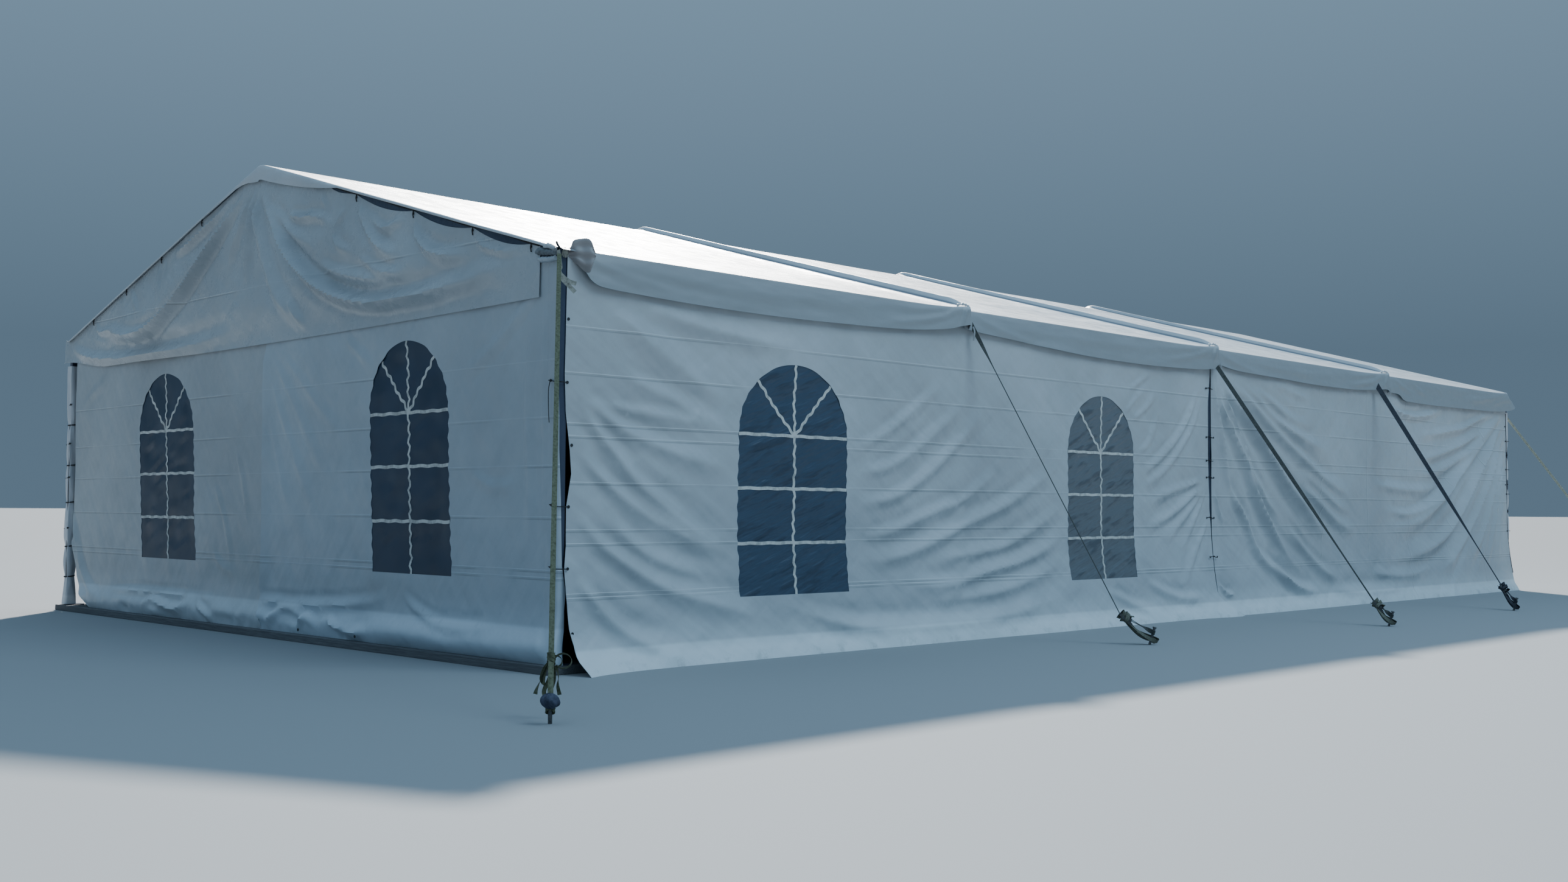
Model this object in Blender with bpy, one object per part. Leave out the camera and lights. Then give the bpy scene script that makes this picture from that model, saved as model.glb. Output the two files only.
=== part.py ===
"""Marquee tent on a timber floor: steel portal frames, white sheets, arched windows and guy straps.

Metres, +Z up, ground at z = 0. X runs across the gables and Y along the hall; the front gable faces -Y.
"""
import math

import bmesh
import bpy
from mathutils import Vector
from mathutils.geometry import delaunay_2d_cdt

# Overall plan and heights
SPAN = 12.0
BAY = 6.0
BAYS = 4
EAVE_TOP = 4.0
ROOF_RISE = 1.73
GAP = 0.0003

# Steel
POST = 0.09
RAFTER_DEPTH = 0.12
BEAM = 0.06
FOOT = 0.2
FOOT_THICK = 0.012
FOOT_CLEAR = 0.004

# Timber floor
DECK_THICK = 0.08
DECK_SIDE = 0.1
DECK_END = 0.15

# Sheets, thicker than the real ones
ROOF_SHEET = 0.006
WALL_SHEET = 0.004
FILM = 0.002
GRID = 0.5

# Roof cover
ROOF_SAG = 0.06
SAG_CLEAR = 0.01
EAVE_REACH = 0.03
VALANCE_OUT = 0.05
VALANCE_DROP = 0.36
VALANCE_DIP = 0.06
END_REACH = 0.025
END_LIP = 0.03
FLAP_DEPTH = 0.19
FLAP_HALF = 1.7

# Gable sheet
GABLE_DROP = 0.44
GABLE_DIP = 0.05
GABLE_WRAP = 0.06
GABLE_SHORT = 0.34
GABLE_UNDER = 0.012

# Walls
SIDE_TOP_DROP = 0.06
CORNER_OPEN = 0.07
JOIN = 0.004
FLARE = 0.16
FLARE_TALL = 1.3
CORNER_FLARE = 0.2
CORNER_FLARE_RUN = 0.5
END_TOP_DROP = 0.16
END_WALL_OUT = 0.03
END_JOIN_SHIFT = 0.2
DRAWN_WIDE = 0.75
DRAWN_TALL = 0.6
DRAWN_STEPS = 6

# Windows
WINDOW_WIDE = 1.7
WINDOW_TALL = 2.47
ARCH_RISE = 0.77
WINDOW_EDGE = 0.0004
SIDE_SILL = 0.64
END_SILL = 0.85
SIDE_WINDOW_SHIFT = 0.12
END_WINDOW_SHIFT = 0.4
ARCH_STEPS = 14

# Guy straps
STRAP_WIDE = 0.05
STRAP_THICK = 0.004
TAB_LONG = 0.12
TAB_CLEAR = 0.08
BUCKLE_THICK = 0.02
BUCKLE_TALL = 0.04
BUCKLE_LAP = 0.012
NEAR_STRAP_DROP = 0.2
RATCHET_WIDE = 0.075
RATCHET_THICK = 0.05
RATCHET_LONG = 0.16
RATCHET_UP = 0.12
STAKE_R = 0.016
STAKE_TALL = 0.2
STAKE_LEAN = 0.06
STAKE_BURIED = 0.04
STAKE_HEAD_R = 0.024
STAKE_HEAD_TALL = 0.014
HOOK_SHARE = 0.72
# How far out of the wall, and along it from the frame, each side stake stands
SIDE_STAKE_OUT = (2.0, 2.65, 2.55)
SIDE_STAKE_ALONG = (1.0, 0.05, -1.0)
# How far out of its corner, and past the end frame, each corner stake stands
NEAR_STAKE = (2.6, 1.98)
BACK_STAKE = (1.9, 1.45)

HALF = SPAN / 2
HALF_LONG = BAY * BAYS / 2
OUTER = HALF + POST / 2
INNER = HALF - POST / 2
STEEL_END = HALF_LONG + POST / 2
RIDGE_TOP = EAVE_TOP + ROOF_RISE
SLOPE = ROOF_RISE / OUTER
STRETCH = math.sqrt(1 + SLOPE * SLOPE)
FRAME_Y = [-HALF_LONG + i * BAY for i in range(BAYS + 1)]
VALANCE_HEM = EAVE_TOP - VALANCE_DROP
GABLE_HEM = EAVE_TOP - GABLE_DROP
SIDE_TOP = EAVE_TOP - SIDE_TOP_DROP
SIDE_EDGE = HALF_LONG - CORNER_OPEN
END_WALL_TOP = EAVE_TOP - END_TOP_DROP
END_WALL_Y = HALF_LONG + END_WALL_OUT
SIDE_WINDOWS = [FRAME_Y[i] + BAY / 2 + SIDE_WINDOW_SHIFT for i in range(BAYS // 2)]
END_WINDOWS = (-HALF / 2 + END_WINDOW_SHIFT, HALF / 2 + END_WINDOW_SHIFT)
SIDE_STRAP_TOP = VALANCE_HEM - TAB_CLEAR
CORNER_STRAP_TOP = GABLE_HEM - TAB_CLEAR
NEAR_STRAP_TOP = EAVE_TOP - NEAR_STRAP_DROP

WHITE = (0.80, 0.81, 0.82)
ROOF_WHITE = (0.84, 0.85, 0.85)
SHADE_WHITE = (0.74, 0.76, 0.78)
FILM_GREY = (0.10, 0.12, 0.15)
STEEL = (0.33, 0.34, 0.36)
TIMBER = (0.30, 0.29, 0.27)
NAVY = (0.03, 0.035, 0.05)
YELLOW = (0.55, 0.55, 0.12)
PALE = (0.62, 0.60, 0.52)


def clear_scene():
    for ob in list(bpy.data.objects):
        bpy.data.objects.remove(ob, do_unlink=True)


def material(name, colour, rough, metal=0.0):
    mat = bpy.data.materials.new(name)
    mat.use_nodes = True
    shader = mat.node_tree.nodes["Principled BSDF"]
    shader.inputs["Base Color"].default_value = (*colour, 1.0)
    shader.inputs["Roughness"].default_value = rough
    shader.inputs["Metallic"].default_value = metal
    return mat


def add_object(name, verts, faces, colour, rough, metal=0.0):
    mesh = bpy.data.meshes.new(name)
    mesh.from_pydata([tuple(v) for v in verts], [], faces)
    bm = bmesh.new()
    bm.from_mesh(mesh)
    bmesh.ops.recalc_face_normals(bm, faces=bm.faces)
    if bm.calc_volume(signed=True) < 0:
        bmesh.ops.reverse_faces(bm, faces=bm.faces)
    bm.to_mesh(mesh)
    bm.free()
    ob = bpy.data.objects.new(name, mesh)
    bpy.context.scene.collection.objects.link(ob)
    mesh.materials.append(material(name, colour, rough, metal))
    return ob


def unite(ob, tool):
    """Join a second closed body onto the first and drop the tool."""
    mod = ob.modifiers.new("unite", "BOOLEAN")
    mod.operation = "UNION"
    mod.solver = "EXACT"
    mod.object = tool
    bpy.context.view_layer.update()
    done = bpy.data.meshes.new_from_object(ob.evaluated_get(bpy.context.evaluated_depsgraph_get()))
    ob.modifiers.clear()
    old = ob.data
    ob.data = done
    done.name = ob.name
    bpy.data.meshes.remove(old)
    bpy.data.objects.remove(tool, do_unlink=True)


def box_mesh(low, high):
    verts = [(x, y, z) for x in (low[0], high[0]) for y in (low[1], high[1]) for z in (low[2], high[2])]
    faces = [(0, 1, 3, 2), (4, 6, 7, 5), (0, 4, 5, 1), (2, 3, 7, 6), (0, 2, 6, 4), (1, 5, 7, 3)]
    return verts, faces


def prism(outline, y0, y1):
    """Extrude an outline of (x, z) points from y0 to y1."""
    n = len(outline)
    verts = [(x, y0, z) for x, z in outline] + [(x, y1, z) for x, z in outline]
    faces = [tuple(range(n)), tuple(range(2 * n - 1, n - 1, -1))]
    for i in range(n):
        j = (i + 1) % n
        faces.append((i, j, n + j, n + i))
    return verts, faces


def roof_z(x):
    """Height of the roof's outer face over the frames."""
    return RIDGE_TOP - abs(x) * SLOPE


def steel_z(x):
    """Height of the steel just under the roof sheet."""
    return roof_z(x) - ROOF_SHEET * STRETCH - GAP


def mirrored(points):
    """A right half outline that starts at the outer foot, with its left half added."""
    return points + [(-x, z) for x, z in reversed(points)]


def portal(index, y):
    notch = BEAM + GAP
    floor = DECK_THICK + GAP
    knee = steel_z(OUTER) - notch
    crown = BEAM / 2 + GAP
    outer_half = [
        (OUTER, floor),
        (OUTER, knee),
        (OUTER - notch, knee),
        (OUTER - notch, steel_z(OUTER - notch)),
        (crown, steel_z(crown)),
        (crown, steel_z(crown) - notch),
    ]
    depth = RAFTER_DEPTH * STRETCH
    inner_half = [(INNER, floor), (INNER, steel_z(INNER) - depth)]
    outline = mirrored(outer_half)
    outline += [(-x, z) for x, z in inner_half]
    outline += [(0.0, steel_z(0.0) - depth)]
    outline += [(x, z) for x, z in reversed(inner_half)]
    verts, faces = prism(outline, y - POST / 2, y + POST / 2)
    ob = add_object(f"portal_frame_{index}", verts, faces, STEEL, 0.45, 0.6)
    # Plates of the end frames stop short of the end walls
    inward = FOOT / 2 - END_WALL_OUT + FOOT_CLEAR
    shift = math.copysign(inward, y) if abs(y) >= HALF_LONG else 0.0
    for side in (-1, 1):
        x = side * (OUTER - FOOT / 2)
        low = (x - FOOT / 2, y - shift - FOOT / 2, DECK_THICK + GAP)
        high = (x + FOOT / 2, y - shift + FOOT / 2, DECK_THICK + GAP + FOOT_THICK)
        plate = add_object("plate", *box_mesh(low, high), STEEL, 0.45)
        unite(ob, plate)


def long_beam(name, outline):
    verts, faces = prism(outline, -STEEL_END, STEEL_END)
    add_object(name, verts, faces, STEEL, 0.45, 0.6)


def beams():
    half = BEAM / 2
    base = steel_z(half) - BEAM
    long_beam("ridge_beam", [(-half, base), (half, base), (half, steel_z(half)), (0.0, steel_z(0.0)),
                             (-half, steel_z(half))])
    base = steel_z(OUTER) - BEAM
    edge = OUTER - BEAM
    right = [(OUTER, base), (OUTER, steel_z(OUTER)), (edge, steel_z(edge)), (edge, base)]
    long_beam("eave_beam_right", right)
    long_beam("eave_beam_left", [(-x, z) for x, z in right])


def shell(rows, thick, name, colour):
    """Closed sheet from a grid of outer points; the inner face is offset along the vertex normals."""
    count_i = len(rows)
    count_j = len(rows[0])
    normals = {}
    for i in range(count_i - 1):
        for j in range(count_j - 1):
            corners = ((i, j), (i, j + 1), (i + 1, j + 1), (i + 1, j))
            p = [rows[a][b] for a, b in corners]
            n = (p[2] - p[0]).cross(p[3] - p[1]).normalized()
            for key in corners:
                normals.setdefault(key, []).append(n)
    outer = []
    inner = []
    for i in range(count_i):
        for j in range(count_j):
            stack = normals[(i, j)]
            mean = sum(stack, Vector()).normalized()
            reach = thick / max(0.5, min(mean.dot(n) for n in stack))
            outer.append(rows[i][j])
            inner.append(rows[i][j] - mean * reach)
    total = count_i * count_j
    faces = []
    for i in range(count_i - 1):
        for j in range(count_j - 1):
            a = i * count_j + j
            b = a + count_j
            faces.append((a, a + 1, b + 1, b))
            faces.append((total + a, total + b, total + b + 1, total + a + 1))
    rim = [(0, j) for j in range(count_j)] + [(i, count_j - 1) for i in range(1, count_i)]
    rim += [(count_i - 1, j) for j in range(count_j - 2, -1, -1)] + [(i, 0) for i in range(count_i - 2, 0, -1)]
    for k, (i, j) in enumerate(rim):
        m, n = rim[(k + 1) % len(rim)]
        a = i * count_j + j
        b = m * count_j + n
        faces.append((a, total + a, total + b, b))
    return add_object(name, outer + inner, faces, colour, 0.4)


def cover_profile():
    """Stations across one roof cover: (x, kind), from the left valance hem to the right one."""
    near = BEAM / 2 + SAG_CLEAR
    far = OUTER - BEAM - SAG_CLEAR
    steps = math.ceil(far / GRID)
    half = [0.0, near] + [far * k / steps for k in range(1, steps)] + [far, OUTER]
    side = [(x, "roof") for x in half]
    side += [(OUTER + EAVE_REACH, "eave"), (OUTER + EAVE_REACH + VALANCE_OUT, "mid"),
             (OUTER + EAVE_REACH + VALANCE_OUT, "hem")]
    return [(-x, kind) for x, kind in reversed(side)] + side[1:]


def cover_point(x, kind, t):
    """Outer face of a cover: x across, t from 0 to 1 along the bay."""
    hang = 4 * t * (1 - t)
    if kind == "roof":
        u = abs(x) / OUTER
        held = abs(x) <= BEAM / 2 + SAG_CLEAR or abs(x) >= OUTER - BEAM - SAG_CLEAR
        free = 0.0 if held else 4 * u * (1 - u)
        return x, roof_z(x) - ROOF_SAG * free * hang
    if kind == "eave":
        return x, roof_z(x)
    hem = VALANCE_HEM - VALANCE_DIP * hang
    top = roof_z(OUTER + EAVE_REACH)
    return (x, hem) if kind == "hem" else (math.copysign(abs(x) - VALANCE_OUT / 2, x), (top + hem) / 2)


def roof_cover(index):
    y0 = FRAME_Y[index] + GAP
    y1 = FRAME_Y[index + 1] - GAP
    still = POST / 2 + SAG_CLEAR
    steps = math.ceil(BAY / GRID)
    stations = [y0, y0 + still] + [y0 + BAY * k / steps for k in range(1, steps)] + [y1 - still, y1]
    front = index == 0
    back = index == BAYS - 1
    if front:
        stations[0] = -STEEL_END - END_REACH
    if back:
        stations[-1] = STEEL_END + END_REACH
    profile = cover_profile()
    rows = []
    for y in stations:
        t = min(1.0, max(0.0, (y - y0 - still) / (y1 - y0 - 2 * still)))
        rows.append([Vector((px, y, pz)) for px, pz in (cover_point(x, kind, t) for x, kind in profile)])
    for at_end, place in ((front, 0), (back, -1)):
        if not at_end:
            continue
        lip = []
        for (x, kind), p in zip(profile, rows[place]):
            if kind == "roof":
                depth = max(END_LIP, FLAP_DEPTH * (1 - abs(x) / FLAP_HALF))
                lip.append(Vector((p.x, p.y, p.z - depth)))
            elif kind == "eave":
                lip.append(Vector((p.x - math.copysign(END_LIP, p.x), p.y, p.z - END_LIP)))
            else:
                lip.append(Vector((p.x - math.copysign(END_LIP, p.x), p.y, p.z)))
        if place == 0:
            rows.insert(0, lip)
        else:
            rows.append(lip)
    shell(rows, ROOF_SHEET, f"roof_cover_{index + 1}", ROOF_WHITE)


def inside(point, polygon):
    x, y = point
    hit = False
    for k, (x1, y1) in enumerate(polygon):
        x2, y2 = polygon[k - 1]
        if (y1 > y) != (y2 > y) and x < (x2 - x1) * (y - y1) / (y2 - y1) + x1:
            hit = not hit
    return hit


def near_edge(point, polygon, reach):
    p = Vector(point)
    for k, b in enumerate(polygon):
        a = Vector(polygon[k - 1])
        along = Vector(b) - a
        if along.length < GAP:
            continue
        s = max(0.0, min(1.0, (p - a).dot(along) / along.length_squared))
        if (a + along * s - p).length < reach:
            return True
    return False


def flat_sheet(name, outline, holes, place, thick, colour, rough=0.4, spacing=GRID):
    """Closed sheet from a plane outline with holes; place(a, b, out) gives the point out metres outside."""
    loops = [outline] + holes
    points = []
    edges = []
    for loop in loops:
        start = len(points)
        points += [Vector(p) for p in loop]
        edges += [(start + k, start + (k + 1) % len(loop)) for k in range(len(loop))]
    low_a = min(p[0] for p in outline)
    high_a = max(p[0] for p in outline)
    low_b = min(p[1] for p in outline)
    high_b = max(p[1] for p in outline)
    steps_a = max(1, round((high_a - low_a) / spacing))
    steps_b = max(1, round((high_b - low_b) / spacing))
    for i in range(1, steps_a):
        for j in range(1, steps_b):
            p = (low_a + (high_a - low_a) * i / steps_a, low_b + (high_b - low_b) * j / steps_b)
            if not inside(p, outline) or any(inside(p, hole) for hole in holes):
                continue
            if any(near_edge(p, loop, spacing * 0.3) for loop in loops):
                continue
            points.append(Vector(p))
    verts, _, tris, _, _, _ = delaunay_2d_cdt(points, edges, [], 0, 1e-7)
    kept = []
    for tri in tris:
        middle = sum((verts[k] for k in tri), Vector((0.0, 0.0))) / 3
        if inside(middle, outline) and not any(inside(middle, hole) for hole in holes):
            kept.append(tuple(tri))
    count = len(verts)
    used = {}
    for tri in kept:
        for k in range(3):
            edge = (tri[k], tri[(k + 1) % 3])
            used[edge] = used.get(edge, 0) + 1
    faces = list(kept) + [tuple(count + k for k in reversed(tri)) for tri in kept]
    for a, b in used:
        if (b, a) not in used:
            faces.append((a, count + a, count + b, b))
    solid = [place(v[0], v[1], thick) for v in verts] + [place(v[0], v[1], 0.0) for v in verts]
    return add_object(name, solid, faces, colour, rough)


def edge_points(a, b, spacing=GRID):
    """Points from a towards b, without b."""
    steps = max(1, round((Vector(b) - Vector(a)).length / spacing))
    return [(a[0] + (b[0] - a[0]) * k / steps, a[1] + (b[1] - a[1]) * k / steps) for k in range(steps)]


def polygon(corners):
    out = []
    for k, a in enumerate(corners):
        out += edge_points(a, corners[(k + 1) % len(corners)])
    return out


def arch(centre, sill, shrink=0.0):
    """Outline of an arched window."""
    half = WINDOW_WIDE / 2 - shrink
    spring = sill + WINDOW_TALL - ARCH_RISE
    rise = ARCH_RISE - shrink
    low = sill + shrink
    points = [(centre - half, low), (centre, low), (centre + half, low)]
    points += [(centre + half, low + (spring - low) * k / 3) for k in (1, 2)]
    for k in range(ARCH_STEPS + 1):
        angle = math.pi * k / ARCH_STEPS
        points.append((centre + half * math.cos(angle), spring + rise * math.sin(angle)))
    points += [(centre - half, low + (spring - low) * k / 3) for k in (2, 1)]
    return points


def side_place(side):
    """Side wall: a runs along Y and b is height. The foot flares out over the floor's edge."""
    def place(a, b, out):
        drop = max(0.0, 1 - b / FLARE_TALL)
        corner = math.exp(-(SIDE_EDGE + a) / CORNER_FLARE_RUN)
        flare = FLARE * drop + CORNER_FLARE * corner * drop * drop
        return side * (OUTER + GAP + flare + out), a, b
    return place


def end_place(end):
    """End wall: seen from outside, a runs to the right and b is height."""
    def place(a, b, out):
        return -end * a, end * (END_WALL_Y + out), b
    return place


def side_walls():
    for side, word in ((1, "right"), (-1, "left")):
        place = side_place(side)
        join = JOIN / 2
        front = polygon([(-SIDE_EDGE, 0.0), (-join, 0.0), (-join, SIDE_TOP), (-SIDE_EDGE, SIDE_TOP)])
        holes = [arch(centre, SIDE_SILL) for centre in SIDE_WINDOWS]
        flat_sheet(f"side_wall_{word}_front", front, holes, place, WALL_SHEET, WHITE)
        back = polygon([(join, 0.0), (SIDE_EDGE, 0.0), (SIDE_EDGE, SIDE_TOP), (join, SIDE_TOP)])
        flat_sheet(f"side_wall_{word}_back", back, [], place, WALL_SHEET, WHITE)
        for number, centre in enumerate(SIDE_WINDOWS, 1):
            pane = arch(centre, SIDE_SILL, WINDOW_EDGE)
            flat_sheet(f"window_film_{word}_{number}", pane, [], place, FILM, FILM_GREY, 0.25)


def end_walls():
    foot = DECK_THICK + GAP
    edge = INNER - GAP
    for end, word in ((-1, "front"), (1, "back")):
        place = end_place(end)
        # The lower left corner is drawn back in a quarter curve
        high = foot + DRAWN_TALL
        left = []
        for k in range(DRAWN_STEPS):
            angle = math.pi / 2 * k / DRAWN_STEPS
            left.append((-edge + DRAWN_WIDE * (1 - math.cos(angle)), high - DRAWN_TALL * math.sin(angle)))
        stop = END_JOIN_SHIFT - JOIN / 2
        left += edge_points((-edge + DRAWN_WIDE, foot), (stop, foot))
        left += edge_points((stop, foot), (stop, END_WALL_TOP))
        left += edge_points((stop, END_WALL_TOP), (-edge, END_WALL_TOP))
        left += edge_points((-edge, END_WALL_TOP), (-edge, high))
        start = END_JOIN_SHIFT + JOIN / 2
        right = polygon([(start, foot), (edge, foot), (edge, END_WALL_TOP), (start, END_WALL_TOP)])
        for hand, outline, centre in (("left", left, END_WINDOWS[0]), ("right", right, END_WINDOWS[1])):
            flat_sheet(f"end_wall_{word}_{hand}", outline, [arch(centre, END_SILL)], place, WALL_SHEET, WHITE)
            pane = arch(centre, END_SILL, WINDOW_EDGE)
            flat_sheet(f"window_film_{word}_{hand}", pane, [], place, FILM, FILM_GREY, 0.25)


def gable_sheets():
    """Pediment sheets on the outer faces of the end frames; the right end stops short of the post."""
    top = steel_z(0.0) - GABLE_UNDER
    low = -(HALF + GABLE_WRAP)
    high = HALF - GABLE_SHORT
    for end, word in ((-1, "front"), (1, "back")):
        def place(a, b, out, end=end):
            return -end * a, end * (STEEL_END + GAP + out), b
        steps = math.ceil((high - low) / GRID)
        outline = []
        for k in range(steps + 1):
            a = low + (high - low) * k / steps
            outline.append((a, GABLE_HEM - GABLE_DIP * (1 - (a / HALF) ** 2)))
        right = (high, steel_z(high) - GABLE_UNDER)
        left = (low, steel_z(low) - GABLE_UNDER)
        outline += edge_points(right, (0.0, top)) + edge_points((0.0, top), left)
        outline.append(left)
        flat_sheet(f"gable_sheet_{word}", outline, [], place, WALL_SHEET, SHADE_WHITE)


def bar(name, start, finish, wide, thick, across, colour):
    """A flat strap from start to finish; across is the direction of its width."""
    a = Vector(start)
    b = Vector(finish)
    along = (b - a).normalized()
    width = (across - along * across.dot(along)).normalized()
    normal = along.cross(width)
    verts = [p + width * (sw * wide / 2) + normal * (sn * thick / 2)
             for p in (a, b) for sw, sn in ((-1, -1), (1, -1), (1, 1), (-1, 1))]
    faces = [(0, 3, 2, 1), (4, 5, 6, 7), (0, 1, 5, 4), (1, 2, 6, 5), (2, 3, 7, 6), (3, 0, 4, 7)]
    return add_object(name, verts, faces, colour, 0.7)


def rod(name, start, finish, radius, colour, sides=12):
    a = Vector(start)
    b = Vector(finish)
    along = (b - a).normalized()
    width = along.cross(Vector((0.0, 1.0, 0.0))).normalized()
    normal = along.cross(width)
    ring = [width * (radius * math.cos(2 * math.pi * k / sides)) + normal * (radius * math.sin(2 * math.pi * k / sides))
            for k in range(sides)]
    verts = [a + r for r in ring] + [b + r for r in ring]
    faces = [tuple(range(sides)), tuple(range(2 * sides - 1, sides - 1, -1))]
    faces += [(k, (k + 1) % sides, sides + (k + 1) % sides, sides + k) for k in range(sides)]
    return add_object(name, verts, faces, colour, 0.5, 0.5)


def guy_strap(name, tab_top, tab_foot, stake, across, colour):
    """One taut strap: tab on the post, webbing, ratchet and the standing part of the stake."""
    foot = Vector((stake[0], stake[1], 0.0))
    outward = Vector((stake[0] - tab_foot[0], stake[1] - tab_foot[1], 0.0)).normalized()
    head = foot + Vector((0.0, 0.0, STAKE_TALL)) + outward * STAKE_LEAN
    hook = foot.lerp(head, HOOK_SHARE)
    ob = bar(name, tab_top, tab_foot, STRAP_WIDE, STRAP_THICK, across, colour)
    # A buckle at the tab's foot lets the webbing leave clear of the wall
    face = Vector((outward.x, 0.0, 0.0)) if across.y else Vector((0.0, outward.y, 0.0))
    face.normalize()
    middle = Vector(tab_foot) + face * (BUCKLE_THICK - STRAP_THICK) / 2
    rise = Vector((0.0, 0.0, BUCKLE_TALL / 2))
    unite(ob, bar("buckle", middle + rise, middle - rise, STRAP_WIDE + BUCKLE_LAP, BUCKLE_THICK, across, colour))
    start = middle + face * BUCKLE_THICK / 4
    unite(ob, bar("web", start, hook, STRAP_WIDE, STRAP_THICK, across, colour))
    along = (hook - start).normalized()
    low = hook - along * (RATCHET_LONG + RATCHET_UP)
    unite(ob, bar("ratchet", low, low + along * RATCHET_LONG, RATCHET_WIDE, RATCHET_THICK, across, colour))
    # The shaft's end is cut level with the ground
    up = (head - foot).normalized()
    shaft = rod("shaft", foot - up * STAKE_BURIED, head, STAKE_R, colour)
    bm = bmesh.new()
    bm.from_mesh(shaft.data)
    cut = bmesh.ops.bisect_plane(bm, geom=list(bm.verts) + list(bm.edges) + list(bm.faces),
                                 plane_co=(0.0, 0.0, 0.0), plane_no=(0.0, 0.0, -1.0), clear_outer=True)
    bmesh.ops.contextual_create(bm, geom=[g for g in cut["geom_cut"] if isinstance(g, bmesh.types.BMEdge)])
    bmesh.ops.recalc_face_normals(bm, faces=bm.faces)
    bm.to_mesh(shaft.data)
    bm.free()
    unite(ob, shaft)
    half_head = up * (STAKE_HEAD_TALL / 2)
    unite(ob, rod("head", head - half_head, head + half_head, STAKE_HEAD_R, colour))


def guy_straps():
    """Three straps on each long side, and one at each corner but the front left one."""
    along_y = Vector((0.0, 1.0, 0.0))
    along_x = Vector((1.0, 0.0, 0.0))
    wall_face = OUTER + GAP + WALL_SHEET + GAP + STRAP_THICK / 2
    post_face = STEEL_END + GAP + STRAP_THICK / 2
    for side, word in ((1, "right"), (-1, "left")):
        for number, (out, along) in enumerate(zip(SIDE_STAKE_OUT, SIDE_STAKE_ALONG), 2):
            y = FRAME_Y[number - 1]
            top = (side * wall_face, y, SIDE_STRAP_TOP)
            low = (side * wall_face, y, SIDE_STRAP_TOP - TAB_LONG)
            stake = (side * (OUTER + out), y + along)
            guy_strap(f"guy_strap_{word}_{number}", top, low, stake, along_y, NAVY)
    corners = (("right_front", 1, -1, NEAR_STRAP_TOP, NEAR_STAKE, YELLOW),
               ("right_back", 1, 1, CORNER_STRAP_TOP, BACK_STAKE, PALE),
               ("left_back", -1, 1, CORNER_STRAP_TOP, BACK_STAKE, PALE))
    for word, side, end, high, (out, ahead), colour in corners:
        x = side * (OUTER - STRAP_WIDE / 2)
        top = (x, end * post_face, high)
        low = (x, end * post_face, high - TAB_LONG)
        stake = (side * (OUTER + out), end * (STEEL_END + ahead))
        guy_strap(f"guy_strap_{word}", top, low, stake, along_x, colour)


def floor_deck():
    low = (-HALF - DECK_SIDE, -HALF_LONG - DECK_END, 0.0)
    high = (HALF + DECK_SIDE, HALF_LONG + DECK_END, DECK_THICK)
    add_object("floor_deck", *box_mesh(low, high), TIMBER, 0.8)


def main():
    clear_scene()
    floor_deck()
    for index, y in enumerate(FRAME_Y, 1):
        portal(index, y)
    beams()
    for index in range(BAYS):
        roof_cover(index)
    gable_sheets()
    end_walls()
    side_walls()
    guy_straps()


main()
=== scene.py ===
"""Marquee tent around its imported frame: coated sheets with their folds, window film, lacing, webbing and boards.

Metres, in the frame's own axes: X across the gables, Y along the hall, the front gable faces -Y.
"""
import math

import bpy
import numpy as np
from mathutils import Matrix, Vector
from mathutils.geometry import delaunay_2d_cdt


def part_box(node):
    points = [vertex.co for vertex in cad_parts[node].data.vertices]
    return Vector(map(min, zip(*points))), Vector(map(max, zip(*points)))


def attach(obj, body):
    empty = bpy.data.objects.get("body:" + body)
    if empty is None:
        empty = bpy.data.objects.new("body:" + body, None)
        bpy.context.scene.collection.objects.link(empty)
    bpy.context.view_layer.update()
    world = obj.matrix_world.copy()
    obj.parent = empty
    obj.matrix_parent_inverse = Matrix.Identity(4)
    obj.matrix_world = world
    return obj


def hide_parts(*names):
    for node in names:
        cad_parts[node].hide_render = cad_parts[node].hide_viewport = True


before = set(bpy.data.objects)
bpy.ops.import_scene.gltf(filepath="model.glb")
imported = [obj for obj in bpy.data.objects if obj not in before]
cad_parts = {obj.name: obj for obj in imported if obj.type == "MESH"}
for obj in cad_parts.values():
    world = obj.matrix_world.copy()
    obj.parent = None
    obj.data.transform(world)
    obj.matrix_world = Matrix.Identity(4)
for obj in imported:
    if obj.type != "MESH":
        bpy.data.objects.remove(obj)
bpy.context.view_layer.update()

# Steel and floor, as in the frame
HALF = 6.0
BAY = 6.0
HALF_LONG = 12.0
POST = 0.09
OUTER = HALF + POST / 2
INNER = HALF - POST / 2
STEEL_END = HALF_LONG + POST / 2
EAVE_TOP = 4.0
RIDGE_TOP = 5.73
SLOPE = (RIDGE_TOP - EAVE_TOP) / OUTER
FRAME_Y = [-12.0, -6.0, 0.0, 6.0, 12.0]
DECK_TOP = 0.08
GAP = 0.0003
ENDS = ((-1, "front", "portal_frame_1"), (1, "back", "portal_frame_5"))
SIDES = ((1, "right"), (-1, "left"))

# Real sheets are about a millimetre; these are just thick enough to stay closed
SHEET = 0.003
FILM = 0.0015

# Side walls
SIDE_EDGE = 11.93
SIDE_TOP = 3.94
SIDE_SILL = 0.64
FLARE = 0.16
FLARE_TALL = 1.3
CORNER_FLARE = 0.2
CORNER_FLARE_RUN = 0.5
FOOT_KICK = 0.06
FOOT_KICK_TALL = 0.2
JOIN_FLAP = 0.11

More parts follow.
